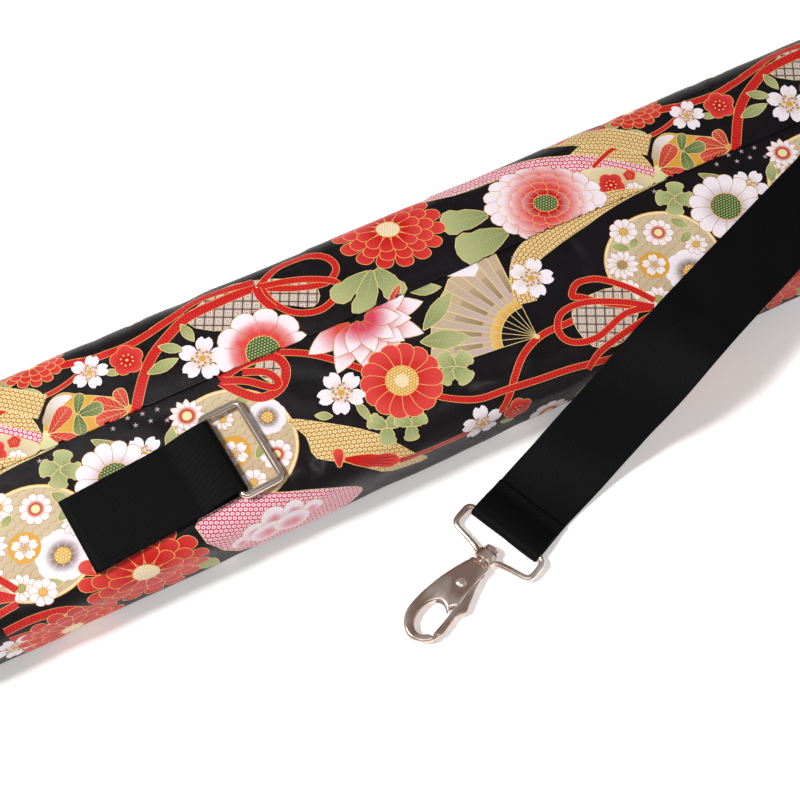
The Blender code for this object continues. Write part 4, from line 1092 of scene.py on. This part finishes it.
def tube(name, points, radius, closed, material, sides=14):
    curve = bpy.data.curves.new(name, "CURVE")
    curve.dimensions = "3D"
    curve.bevel_depth = radius
    curve.bevel_resolution = sides // 4
    curve.use_fill_caps = True
    spline = curve.splines.new("POLY")
    spline.points.add(len(points) - 1)
    for knot, q in zip(spline.points, points):
        knot.co = (*q, 1.0)
    spline.use_cyclic_u = closed
    return curve_to_mesh(name, curve, material)


def curve_to_mesh(name, curve, material):
    holder = bpy.data.objects.new(name + "_curve", curve)
    bpy.context.scene.collection.objects.link(holder)
    graph = bpy.context.evaluated_depsgraph_get()
    mesh = bpy.data.meshes.new_from_object(holder.evaluated_get(graph))
    bpy.data.objects.remove(holder, do_unlink=True)
    bpy.data.curves.remove(curve)
    bm = bmesh.new()
    bm.from_mesh(mesh)
    bmesh.ops.remove_doubles(bm, verts=bm.verts, dist=1e-6)
    bpy.data.meshes.remove(mesh)
    return from_bmesh(name, bm, material)


def rounded_plate(name, loops, thickness, edge, material):
    """A plate from its outline and holes, with rounded edges."""
    curve = bpy.data.curves.new(name, "CURVE")
    curve.dimensions = "2D"
    curve.fill_mode = "BOTH"
    curve.extrude = thickness / 2 - edge
    curve.bevel_depth = edge
    curve.bevel_resolution = 4
    curve.offset = -edge
    for loop in loops:
        spline = curve.splines.new("POLY")
        spline.points.add(len(loop) - 1)
        for knot, (x, y) in zip(spline.points, loop):
            knot.co = (x, y, 0.0, 1.0)
        spline.use_cyclic_u = True
    return curve_to_mesh(name, curve, material)


def turned(name, profile, material, sides=40):
    """(radius, height) pairs spun round Z."""
    bm = bmesh.new()
    rows = []
    for radius, z in profile:
        if radius < 1e-7:
            rows.append([bm.verts.new((0, 0, z))])
        else:
            rows.append([bm.verts.new((x, y, z)) for x, y in arc((0.0, 0.0), radius, 0, 360, sides)[:-1]])
    for a, b in zip(rows, rows[1:]):
        for i in range(sides):
            j = (i + 1) % sides
            loop = [a[i % len(a)], a[j % len(a)], b[j % len(b)], b[i % len(b)]]
            loop = [q for n, q in enumerate(loop) if q not in loop[:n]]
            if len(loop) > 2:
                bm.faces.new(loop)
    bmesh.ops.remove_doubles(bm, verts=bm.verts, dist=1e-7)
    item = from_bmesh(name, bm, material)
    split_sharp(item)
    return item


def split_sharp(item, angle=35):
    """Keeps hard corners hard on a smooth mesh."""
    bm = bmesh.new()
    bm.from_mesh(item.data)
    for edge in bm.edges:
        edge.smooth = not (edge.is_manifold and edge.calc_face_angle(0.0) > math.radians(angle))
    bm.to_mesh(item.data)
    bm.free()


def joined(name, items):
    """One mesh from several, in world coordinates."""
    bm = bmesh.new()
    mats = []
    for item in items:
        part = item.data.copy()
        part.transform(item.matrix_basis)
        bm.from_mesh(part)
        bpy.data.meshes.remove(part)
        mats += [m for m in item.data.materials if m not in mats]
    mesh = bpy.data.meshes.new(name)
    bm.to_mesh(mesh)
    bm.free()
    for item in items:
        bpy.data.objects.remove(item, do_unlink=True)
    return new_object(name, mesh, mats[0])


def arc(centre, radius, start, end, steps):
    """Points round a circle, angles in degrees."""
    angles = [math.radians(start + (end - start) * i / steps) for i in range(steps + 1)]
    return [(centre[0] + radius * math.cos(a), centre[1] + radius * math.sin(a)) for a in angles]


def round_box(x0, x1, y0, y1, r, steps=8):
    """A rectangle's outline with rounded corners."""
    return (arc((x1 - r, y1 - r), r, 0, 90, steps) + arc((x0 + r, y1 - r), r, 90, 180, steps)
            + arc((x0 + r, y0 + r), r, 180, 270, steps) + arc((x1 - r, y0 + r), r, 270, 360, steps))


# ---------------------------------------------------------------- webbing paths, as in the CAD
def route_frames():
    knots = [Vector(point[:3]) for point in STRAP_ROUTE]
    banks = [math.radians(point[3]) for point in STRAP_ROUTE]
    last = len(knots) - 1
    samples = []
    for i in range(last):
        a, b = knots[max(i - 1, 0)], knots[i]
        c, d = knots[i + 1], knots[min(i + 2, last)]
        for step in range(2):
            t = step / 2
            middle = 0.5 * (2 * b + (c - a) * t + (2 * a - 5 * b + 4 * c - d) * t * t
                            + (3 * b - a - 3 * c + d) * t ** 3)
            samples.append((middle, banks[i] + (banks[i + 1] - banks[i]) * t, i + t))
    samples.append((knots[-1], banks[-1], float(last)))
    frames = []
    for n, (middle, bank, place) in enumerate(samples):
        along = (samples[min(n + 1, len(samples) - 1)][0] - samples[max(n - 1, 0)][0]).normalized()
        across = Vector((-along.y, along.x, 0.0))
        across = Vector((0, 1, 0)) if across.length < 0.3 else across.normalized()
        across = (Matrix.Rotation(bank, 3, along) @ across).normalized()
        frames.append((middle, along, across, along.cross(across).normalized(), place))
    return frames


def near(at, forward, rise):
    return (at[0] + at[1] * forward + at[3] * rise, at[2])


def round_bar(at, forward, rise, radius, start, end, steps):
    """Points of the tape's path round a bar, near a frame of the route."""
    return [near(at, *point) for point in arc((forward, rise), radius, start, end, steps)]


def strap_path():
    frames = route_frames()
    centre = next(at for at in frames if at[4] == ADJUSTER_AT)
    beyond = [at for at in frames if at[4] >= ADJUSTER_AT + 1]
    before = [at for at in frames if 1 <= at[4] <= ADJUSTER_AT - 1.5]
    wrap = RING_WIRE + GAP + WEB / 2
    path = [near(centre, 0.0035, 0.0024), near(centre, 0.0012, 0.0024)]
    path += round_bar(centre, -0.0008, ADJUSTER_BAR, 0.0020, -90, -270, 6)
    path += [near(centre, *q) for q in ((0.0010, 0.00645), (0.0025, 0.0060), (0.0040, 0.0049),
                                        (0.0060, 0.0031), (0.0090, 0.0010), (0.0120, 0.0001))]
    path += [near(at, 0.0, 0.0) for at in beyond]
    path += round_bar(beyond[-1], 0.0, wrap, wrap, -67.5, 67.5, 6)
    for at in reversed(beyond):
        to_ring = max(0.0, (at[4] - len(STRAP_ROUTE) + 1) / 4 + 1)
        path.append(near(at, 0.0, LAYER_STEP + (2 * wrap - LAYER_STEP) * to_ring * to_ring
                         * (3 - 2 * to_ring)))
    path += [near(centre, *q) for q in ((0.0160, 0.0020), (0.0125, 0.0021), (0.0095, 0.0029),
                                        (0.0060, 0.0055), (0.0030, 0.0077), (0.0, 0.0084), (-0.0030, 0.0077),
                                        (-0.0060, 0.0054), (-0.0095, 0.0028), (-0.0125, 0.0020),
                                        (-0.0160, 0.0014), (-0.0220, 0.0003))]
    path += [near(at, 0.0, 0.0) for at in reversed(before)]
    along = Vector((-math.cos(HOOK_HEADING), -math.sin(HOOK_HEADING), 0.0))
    up = Vector((0, 0, 1))
    bar = (HOOK_BAR, along, up.cross(along), up, 0.0)
    wrap = HOOK_WIRE + GAP + WEB / 2
    path.append(near(bar, 0.0080, -wrap))
    path += round_bar(bar, 0.0, 0.0, wrap, 270, 90, 8)
    path += [near(bar, 0.0040, wrap * 0.94), near(bar, 0.0090, wrap * 0.55),
             near(bar, 0.0150, LAYER_STEP - wrap + 0.0003), near(bar, 0.0200, LAYER_STEP - wrap)]
    return path


def tab_path(place, turn, length):
    wrap = RING_WIRE + GAP + WEB / 2
    points = [(-length, -wrap), (-0.030, -wrap), (-0.006, -wrap)]
    points += arc((0.0, 0.0), wrap, -90, 90, 8)
    upper, middle = -wrap + WEB + GAP, -0.045 if length > 0.05 else -0.034
    points += [(-0.004, wrap * 0.97), (-0.010, wrap * 0.62), (-0.018, upper + 0.0002), (-0.024, upper),
               (middle, upper), (-length, upper)]
    across = turn @ Vector((0, 1, 0))
    return [(place + turn @ Vector((x, 0, z)), across) for x, z in points]


def stitches(name, spots, material):
    """Short sewn stitches: (middle, direction, up, length) each a small rounded bar."""
    bm = bmesh.new()
    for middle, direction, up, length in spots:
        side = direction.cross(up).normalized()
        turn = Matrix((direction, side, up)).transposed().to_4x4()
        shape = Matrix.Translation(middle) @ turn @ Matrix.Diagonal((length / 2, 0.00026, 0.00022, 1))
        bmesh.ops.create_uvsphere(bm, u_segments=8, v_segments=5, radius=1.0, matrix=shape)
    return from_bmesh(name, bm, material)


# ---------------------------------------------------------------- build: cloth
CLOTH = printed_cloth()
BLACK = webbing("webbing")
NICKEL = metal("ring_metal", (214, 196, 182), 0.13)
# the hook's plate carries painted reflections: soft darker bands in its colour
HOOK = metal("hook_metal", (255, 242, 234), 0.15, painted_reflection_colour=(186, 156, 142))
ZIP_METAL = metal("zip_metal", (204, 192, 180), 0.2)
STEEL = metal("spring_steel", (186, 184, 182), 0.25)
TAPE = fabric("zip_tape", (14, 14, 16), (30, 30, 33), 0.0005)
TEETH = fabric("zip_teeth", (20, 20, 22), (38, 38, 41), 0.002, (0.32, 0.45))
LINING = fabric("lining", (112, 26, 36), (140, 42, 50), 0.0008)
THREAD = fabric("thread", (5, 5, 6), (13, 13, 15), 0.0003, (0.6, 0.8), 0.0)
PIPING = fabric("piping", (18, 17, 19), (40, 38, 42), 0.0005)
FOAM = foam_material()

STEP = 4.5


def columns_between(start, end):
    count = int((end - start) / STEP)
    return [start + (end - start) * (i + 0.5) / count for i in range(count)]


def edge_line(x0, x1, y_of, step=3.0):
    count = max(2, int(abs(x1 - x0) / step))
    return [(x0 + (x1 - x0) * i / count, y_of(x0 + (x1 - x0) * i / count)) for i in range(count + 1)]


def build_wall(side):
    slot = 20.0 if side < 0 else 34.0
    inner = slot - side * 7.9

    def seam(x):
        return side * 1000 * float(girth(np.float64(x / 1000)))

    outline = edge_line(-540, 540, lambda x: inner, 6.0) + edge_line(540, -540, seam)
    far = max(abs(seam(x)) for x in (540, 420, 0, -500))
    low, high = (-far, inner) if side < 0 else (inner, far)
    rows = [slot - side * step for step in (0, 0.5, 1.0, 1.5, 1.9)]
    reach = slot * side + 2.0
    while reach < far:
        rows.append(side * reach)
        reach += 4.5 if reach < 30 else 2.8
    shapes = whole_print(low, high, side < 0)
    word = "front" if side < 0 else "rear"
    item = cloth_piece(word + "_cloth", outline, rows, columns_between(-540, 540), shapes, wall_surface(side),
                       False, CLOTH)
    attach(item, "case")
    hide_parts(word + "_panel")


build_wall(-1)
build_wall(1)


def build_fly():
    x0, x1 = FLY_X[0] * 1000, FLY_X[1] * 1000
    fold = 12.0 + 0.6
    under = fold - 0.6 * math.pi - 30.0
    outline = edge_line(x0, x1, lambda x: under, 5.0) + edge_line(x1, x0, lambda x: 49.5, 5.0)
    rows = [fold - 0.6 * math.pi * k / 6 for k in range(7)]
    rows += [14, 16, 19, 23, 27, 31, 35, 38, 40, 41.5, 43, 44.5, 46, 47.5, 48.5]
    rows += [fold - 1.9 - 5 * k for k in range(1, 6)]
    shapes = whole_print(under, 50, False)
    item = cloth_piece("fly_cloth", outline, rows, columns_between(x0, x1), shapes, fly_surface, False, CLOTH)
    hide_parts("zip_fly", "fly_hem")
    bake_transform(item)


build_fly()


def build_bottom():
    def edge(x, sign):
        return sign * 1000 * float(half_width(np.float64(x / 1000)) - BOTTOM_RADIUS)
    outline = edge_line(-540, 540, lambda x: edge(x, -1), 5.0)
    outline += edge_line(540, -540, lambda x: edge(x, 1), 5.0)
    shapes = whole_print(-100, 14, True)
    rows = [-90 + 12 * k for k in range(16)]
    item = cloth_piece("bottom_cloth", outline, rows, columns_between(-540, 540)[::3], shapes, bottom_surface,
                       True, CLOTH)
    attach(item, "case")
    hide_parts("bottom_panel")


build_bottom()


def section_outline(x, inset, per=8):
    """The whole outline of the case at x, inset, as (y, z) points."""
    wide, tall, r = (float(size(np.float64(x))) for size in (half_width, height, top_radius))
    low = BOTTOM_RADIUS
    corners = ((wide - r, tall - r, r), (r - wide, tall - r, r), (low - wide, low, low),
               (wide - low, low, low))
    return [point for k, (y, z, radius) in enumerate(corners)
            for point in arc((y, z), radius - inset, 90 * k, 90 * k + 90, per)]


def build_ends():
    for sign, word in ((-1, "head_end"), (1, "body_end")):
        outline = [(z * 1000, y * 1000) for y, z in section_outline(sign * HALF_LENGTH, 0.0012)]
        tall = max(z for z, _ in outline)
        shapes = whole_print(12, 110, False)
        shapes.extend(whole_print(-110, 14, True))
        moved = Print()
        for q, paint in zip(shapes.points, shapes.paint):
            if q[:, 0].min() > -70 and q[:, 0].max() < 190:
                moved.points.append(q + (60, 0))
                paint = list(paint)
                paint[6] += 60
                paint[14] += 60
                moved.paint.append(paint)
        rows, columns = [-110 + 5 * k for k in range(45)], [3 + 5 * k for k in range(int(tall / 5))]
        item = cloth_piece(word + "_cloth", outline, rows, columns, moved, end_surface(sign), sign > 0, CLOTH)
        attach(item, "case")
        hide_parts(word + "_panel")
        edge = section_outline(sign * HALF_LENGTH, 0.0013, 10)
        ring = [(sign * (HALF_LENGTH - 0.0004), y, z + 0.0002) for y, z in edge]
        welt = tube(word + "_welt", ring, 0.0013, True, PIPING)
        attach(welt, "case")


build_ends()

# ---------------------------------------------------------------- build: zip
def build_teeth(side, word):
    """A moulded coil, shown as one tapered block per tooth."""
    bm = bmesh.new()
    pitch = 0.0016
    count = int(1.012 / pitch)
    for i in range(count):
        x = -0.5015 + pitch * (i + (0.5 if side > 0 else 0.0))
        z = float(height(np.float64(x))) - 0.0072 - 0.0009
        made = bmesh.ops.create_cube(bm, size=1.0)["verts"]
        y = ZIP_Y + side * 0.0021
        for vert in made:
            taper = 0.7 if vert.co.z > 0 else 1.0
            vert.co = (x + vert.co.x * pitch * 0.72 * taper, y + vert.co.y * 0.0018, z + vert.co.z * 0.0016)
    item = from_bmesh("zip_coil_" + word, bm, TEETH, False)
    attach(item, "case")
    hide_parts("zip_teeth_" + word)


build_teeth(-1, "front")
build_teeth(1, "rear")


def paint_node(name, material, bevel):
    """A CAD piece shown as it is, with its material and softened edges."""
    node = nodes[name]
    node.data.materials.clear()
    node.data.materials.append(material)
    if bevel:
        mod = node.modifiers.new("soft_edges", "BEVEL")
        mod.width = bevel
        mod.segments = 3
        mod.limit_method = "ANGLE"


for name, material, bevel, slot in (("zip_slider", ZIP_METAL, 0.00025, "zip_metal"),
                                    ("zip_pull", ZIP_METAL, 0.0003, "zip_metal"),
                                    ("zip_head_stop", ZIP_METAL, 0.0003, "zip_metal"),
                                    ("zip_body_stop", ZIP_METAL, 0.0003, "zip_metal"),
                                    ("zip_tape_front", TAPE, 0, "zip_tape"),
                                    ("zip_tape_rear", TAPE, 0, "zip_tape"), ("front_foam", FOAM, 0, "foam"),
                                    ("rear_foam", FOAM, 0, "foam"), ("bottom_foam", FOAM, 0, "foam"),
                                    ("head_end_foam", FOAM, 0, "foam"), ("body_end_foam", FOAM, 0, "foam"),
                                    ("front_lining", LINING, 0, "lining"),
                                    ("rear_lining", LINING, 0, "lining"),
                                    ("bottom_lining", LINING, 0, "lining"),
                                    ("head_end_lining", LINING, 0, "lining"),
                                    ("body_end_lining", LINING, 0, "lining"),
                                    ("strap_adjuster", NICKEL, 0.0007, "ring_metal"),
                                    ("gate_spring", STEEL, 0, "spring_steel")):
    paint_node(name, material, bevel)

# ---------------------------------------------------------------- build: tabs, rings, strap
TAB_TURN = Matrix.Rotation(math.radians(4.5), 3, "Z")
LIFT = RING_WIRE + 2 * GAP + WEB
TABS = {"1": (Vector((-0.1665, -0.0285, 0.050 + LIFT)), TAB_TURN, math.radians(3), 0.073),
        "2": (Vector((HALF_LENGTH + LIFT, -0.016, 0.052)), Matrix(((0, 0, 1), (0, -1, 0), (1, 0, 0))), 0.0,
              0.042),}


def sewn_box(place, turn, start, end, rise):
    """Two rows of stitches across a doubled tab and two along its sides."""
    spots = []
    along, across, up = (turn @ Vector(a) for a in ((1, 0, 0), (0, 1, 0), (0, 0, 1)))
    for x in (start, end):
        for k in range(12):
            y = -0.0165 + 0.003 * k
            spots.append((place + along * x + across * y + up * rise, across, up, 0.0022))
    for y in (-0.0165, 0.0165):
        for k in range(int((end - start) / 0.003)):
            middle = place + along * (start + 0.0015 + 0.003 * k) + across * y + up * rise
            spots.append((middle, along, up, 0.0022))
    return spots


for key, (place, turn, tilt, length) in TABS.items():
    tab, _ = ribbon_mesh("tab_" + key, tab_path(place, turn, length), BLACK)
    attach(tab, "case")
    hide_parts("ring_tab_" + key)
    wrap = RING_WIRE + GAP + WEB / 2
    rise = -wrap + WEB + GAP + WEB / 2 + 0.00006
    sewn = 0.022 if key == "1" else 0.014
    spots = sewn_box(place, turn, -length + 0.004, -length + sewn, rise)
    thread = stitches("tab_%s_stitches" % key, spots, THREAD)
    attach(thread, "case")
    flat = round_box(0.0, 0.0195, -0.0218, 0.0218, 0.0024)
    wire = tube("nickel_ring_" + key, [(x, y, 0.0) for x, y in flat], RING_WIRE, True, NICKEL, 20)
    wire.matrix_world = Matrix.Translation(place) @ turn.to_4x4() @ Matrix.Rotation(tilt, 4, "Y")
    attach(wire, "ring" if key == "1" else "case")
    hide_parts("ring_" + key)

strap, strap_length = ribbon_mesh("strap_webbing", strap_path(), BLACK, 0.00022)
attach(strap, "case")
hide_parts("shoulder_strap")

# ---------------------------------------------------------------- build: snap hook
HOOK_PLACE = Matrix.Translation(HOOK_BAR) @ Matrix.Rotation(HOOK_HEADING, 4, "Z")
ALONG = Matrix.Rotation(math.radians(90), 4, "Y")


def on_hook(item, body, *replaced, forward=0.0, sideways=0.0, along=False, slot="hook_metal"):
    matrix = HOOK_PLACE @ Matrix.Translation((forward, sideways, 0))
    item.matrix_world = matrix @ ALONG if along else matrix
    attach(item, body)
    if replaced:
        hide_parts(*replaced)
    return item


def hook_loop_points():
    points = arc((0.0030, 0.0198), 0.0030, 180, 90, 8)
    points += smooth([(0.0078, 0.0228), (0.0098, 0.0226), (0.0114, 0.0218), (0.0125, 0.0200),
                      (0.0131, 0.0170), (0.0136, 0.0140), (0.0141, 0.0110), (0.0147, 0.0082),
                      (0.0156, 0.0058), (0.0164, 0.0045)], 4)
    return [(x, -y, 0.0) for x, y in reversed(points)] + [(x, y, 0.0) for x, y in points]


def oval(name, profile, stretch, material, sides=48):
    """A turned piece along the hook, stretched across it."""
    item = turned(name, profile, material, sides)
    item.matrix_basis = ALONG @ Matrix.Diagonal((1.0, stretch, 1.0, 1.0))
    return item


loop = tube("loop_wire", hook_loop_points(), HOOK_WIRE, False, HOOK, 20)
sleeve = oval("sleeve", [(0.0027, 0.0136), (0.0034, 0.0134), (0.0040, 0.0138), (0.0042, 0.0145),
                         (0.0042, 0.0177), (0.0040, 0.0184), (0.0035, 0.0188), (0.0027, 0.0188),
                         (0.0027, 0.0136)], 1.36, HOOK)
on_hook(joined("hook_loop_wire", [loop, sleeve]), "hook_loop", "hook_base")

post = turned("swivel_post", [(0.0, 0.0198), (0.0033, 0.0198), (0.0036, 0.0195), (0.0034, 0.0192),
                              (0.0023, 0.0192), (0.0023, 0.0131), (0.0036, 0.0131), (0.0041, 0.0128),
                              (0.0042, 0.0121), (0.0040, 0.0110), (0.0031, 0.0102), (0.0016, 0.0099),
                              (0.0, 0.0098)], HOOK)
on_hook(post, "hook", "hook_post", along=True)


def hook_front(x):
    across = max(0.0, (x - EYE_CENTRE[0]) / EYE_OUTER[0])
    straight = 0.0054 + 0.0028 * min(1.0, (x - 0.0214) / (EYE_CENTRE[0] - 0.0214))
    return EYE_CENTRE[1] + (straight - EYE_CENTRE[1]) * math.sqrt(max(0.0, 1 - across * across))


def hook_back(x):
    across = max(0.0, (x - EYE_CENTRE[0]) / EYE_OUTER[0])
    straight = 0.0054 + (EYE_OUTER[1] - EYE_CENTRE[1] - 0.0054) * math.sin(
        0.5 * math.pi * min(1.0, max(0.0, x - 0.0214) / (EYE_CENTRE[0] - 0.0214)) ** 0.9)
    return EYE_CENTRE[1] - (straight + EYE_CENTRE[1]) * math.sqrt(max(0.0, 1 - across * across))


def frame_outline():
    """The hook's body and eye, open at the mouth where the gate closes."""
    bowl = [EYE_CENTRE[0] + EYE_OUTER[0] * math.sin(math.radians(a)) for a in range(0, 89, 6)]
    shank = [0.0214 + 0.0020 * i for i in range(17)]
    outer = [(x, hook_back(x)) for x in shank + bowl] + [(EYE_CENTRE[0] + EYE_OUTER[0], EYE_CENTRE[1])]
    outer += [(x, hook_front(x)) for x in reversed(bowl) if x > 0.0612]
    nose = arc(GATE_PIVOT, GATE_REACH + 0.0005, 17, 10, 4)
    inner = [(0.0562 + EYE_INNER[0] * math.cos(math.radians(a)),
              -0.0016 + EYE_INNER[1] * math.sin(math.radians(a))) for a in range(44, -231, -8)]
    cheek = [(0.0462, 0.0034), (0.0452, 0.0044), (0.0446, 0.0052)]
    front = [(x, hook_front(x) - 0.0016 * min(1.0, (x - 0.0214) / 0.012))
             for x in (0.0430, 0.0400, 0.0360, 0.0320, 0.0280, 0.0240, 0.0214)]
    return outer + nose + inner + cheek + front


def crowned(item, rise):
    """Domes the faces of a plate, highest along its middle."""
    bm = bmesh.new()
    bm.from_mesh(item.data)
    for normal, first, step, count in ((Vector((1, 0, 0)), 0.0235, 0.0021, 22),
                                       (Vector((0, 1, 0)), -0.0110, 0.0014, 14)):
        for i in range(count):
            bmesh.ops.bisect_plane(bm, geom=bm.verts[:] + bm.edges[:] + bm.faces[:],
                                   plane_co=normal * (first + step * i), plane_no=normal)
    for vert in bm.verts:
        x = min(max(vert.co.x, 0.0214), 0.0690)
        low, high = hook_back(x), hook_front(x)
        t = (vert.co.y - (low + high) / 2) / max(0.001, (high - low) / 2)
        vert.co.z *= 1 + rise * max(0.0, 1 - t * t) * (1 - float(ease(np.float64(x), (0.040, 0.050))))
    bm.to_mesh(item.data)
    bm.free()
    return item


def slab(item, low, high):
    """Keeps the part of a piece between two heights, closed with flat faces."""
    bm = bmesh.new()
    bm.from_mesh(item.data)
    for height, direction in ((low, -1.0), (high, 1.0)):
        bmesh.ops.bisect_plane(bm, geom=bm.verts[:] + bm.edges[:] + bm.faces[:], dist=1e-7,
                               plane_co=(0, 0, height), plane_no=(0, 0, direction), clear_outer=True)
    caps = bmesh.ops.holes_fill(bm, edges=[edge for edge in bm.edges if edge.is_boundary], sides=0)["faces"]
    bmesh.ops.triangulate(bm, faces=caps)
    bm.to_mesh(item.data)
    bm.free()
    return item


def slot_outline():
    """The hook's middle layer, with the gate's room left out of it."""
    outline = frame_outline()
    stop = next(i for i, (x, y) in enumerate(outline) if i > 40 and x < 0.0490 and y > -0.0050)
    room = [(0.0482, -0.0047), (0.0240, -0.0047), (0.0240, hook_front(0.0240) - 0.0003)]
    return outline[:stop] + room + [(0.0214, hook_front(0.0214))]


CHEEK = 0.0017
layers = [slab(crowned(rounded_plate("cheek", [frame_outline()], 0.0044, 0.0015, HOOK), 0.45), low, high)
          for low, high in ((CHEEK, 0.01), (-0.01, -CHEEK))]
layers.append(slab(rounded_plate("hook_middle", [slot_outline()], 0.0044, 0.0015, HOOK), -CHEEK, CHEEK))
for layer in layers:
    split_sharp(layer)
flange = oval("flange", [(0.0, 0.0202), (0.0036, 0.0202), (0.0040, 0.0205), (0.0041, 0.0210),
                         (0.0040, 0.0216), (0.0035, 0.0220), (0.0, 0.0221)], 1.42, HOOK)
on_hook(joined("hook_body", layers + [flange]), "hook", "hook_frame")


def gate_outline():
    px, py = GATE_PIVOT
    knuckle = arc((0.0, 0.0), 0.0028, 150, 345, 14)
    inner = [(x - px, y - py) for x, y in ((0.0400, 0.0014), (0.0430, 0.0030), (0.0460, 0.0041),
                                           (0.0500, 0.0043), (0.0550, 0.0044))]
    nose = arc((0.0, 0.0), GATE_REACH, 11.2, 16.4, 4)
    outer = [(x - px, hook_front(x) - 0.0002 - py) for x in (0.0595, 0.0570, 0.0540, 0.0510, 0.0485)]
    lever = [(x - px, y - py) for x, y in ((0.0470, 0.0080), (0.0458, 0.0087), (0.0446, 0.0094),
                                           (0.0434, 0.0098), (0.0421, 0.0098), (0.0408, 0.0094),
                                           (0.0390, 0.0087), (0.0360, 0.0078), (0.0330, 0.0069),
                                           (0.0300, 0.0062), (0.0272, 0.0056), (0.0260, 0.0051),
                                           (0.0259, 0.0044), (0.0268, 0.0038), (0.0290, 0.0032))]
    return knuckle + inner + nose + outer + lever


gate = rounded_plate("gate_lever", [gate_outline()], 0.0030, 0.0009, HOOK)
on_hook(gate, "gate", "hook_gate", forward=GATE_PIVOT[0], sideways=GATE_PIVOT[1])
rivet = turned("rivet_head", [(0.0, 0.0040), (0.0009, 0.0039), (0.0018, 0.0037), (0.0025, 0.0034),
                              (0.0028, 0.0030), (0.0028, 0.0026), (0.0009, 0.0026), (0.0009, -0.0026),
                              (0.0028, -0.0026), (0.0028, -0.0030), (0.0024, -0.0034), (0.0012, -0.0037),
                              (0.0, -0.0037)], HOOK, 32)
on_hook(rivet, "hook", "hook_rivet", forward=GATE_PIVOT[0], sideways=GATE_PIVOT[1])

# ---------------------------------------------------------------- floor, light, camera
floor_mesh = bpy.data.meshes.new("floor")
floor_mesh.from_pydata([(-6, -6, 0), (6, -6, 0), (6, 6, 0), (-6, 6, 0)], [], [(0, 1, 2, 3)])
paper = Graph("white_paper")
paper_here = paper.here()
paper.set(Base_Color=paper.mix(paper.noise(paper_here, 3.0), linear((250, 250, 250)),
                               linear((255, 255, 255))),
          Roughness=paper.remap(paper.noise(paper_here, 40.0), 0.3, 0.7, 0.75, 0.9),
          Emission_Color=(1.0, 0.94, 0.92, 1.0), Emission_Strength=0.28)
floor = new_object("floor", floor_mesh, paper.material, False)
floor.location.z = -0.0002


def area_light(name, place, aim, size, power, colour=(1, 1, 1), size_y=None):
    data = bpy.data.lights.new(name, "AREA")
    data.shape = "RECTANGLE"
    data.size = size
    data.size_y = size_y or size
    data.energy = power
    data.color = colour
    item = bpy.data.objects.new(name, data)
    item.location = place
    item.rotation_euler = (Vector(aim) - Vector(place)).to_track_quat("-Z", "Y").to_euler()
    bpy.context.scene.collection.objects.link(item)
    return item


AIM = (-0.06, -0.03, 0.03)
area_light("key", (-0.83, 0.08, 1.25), AIM, 0.26, 24, (1.0, 0.985, 0.97))
area_light("top", (-0.35, -1.0, 1.6), AIM, 1.2, 6)
area_light("fill", (1.4, -1.0, 0.9), AIM, 1.2, 1.5, (1.0, 0.98, 0.97))
area_light("strip_left", (-1.3, 0.7, 0.45), AIM, 0.06, 0.7, (0.92, 0.96, 1.0), 1.2)
area_light("strip_back", (0.5, 1.3, 0.62), AIM, 1.4, 0.9, (0.92, 0.96, 1.0), 0.07)

world = bpy.data.worlds.new("studio")
world.use_nodes = True
world.node_tree.nodes["Background"].inputs["Color"].default_value = (1.0, 1.0, 1.0, 1.0)
world.node_tree.nodes["Background"].inputs["Strength"].default_value = 0.22
bpy.context.scene.world = world
bpy.context.scene.view_settings.view_transform = "Standard"

camera_data = bpy.data.cameras.new("camera")
camera_data.lens = 70
camera_data.sensor_width = 36
camera = bpy.data.objects.new("camera", camera_data)
bpy.context.scene.collection.objects.link(camera)
azimuth, elevation = math.radians(-26.48), math.radians(65)
level = math.cos(elevation)
back = Vector((math.sin(azimuth) * level, -math.cos(azimuth) * level, math.sin(elevation)))
target = Vector((-0.08, -0.036, 0.048))
camera.location = target + back * 0.7235
camera.rotation_euler = (-back).to_track_quat("-Z", "Y").to_euler()
bpy.context.scene.camera = camera
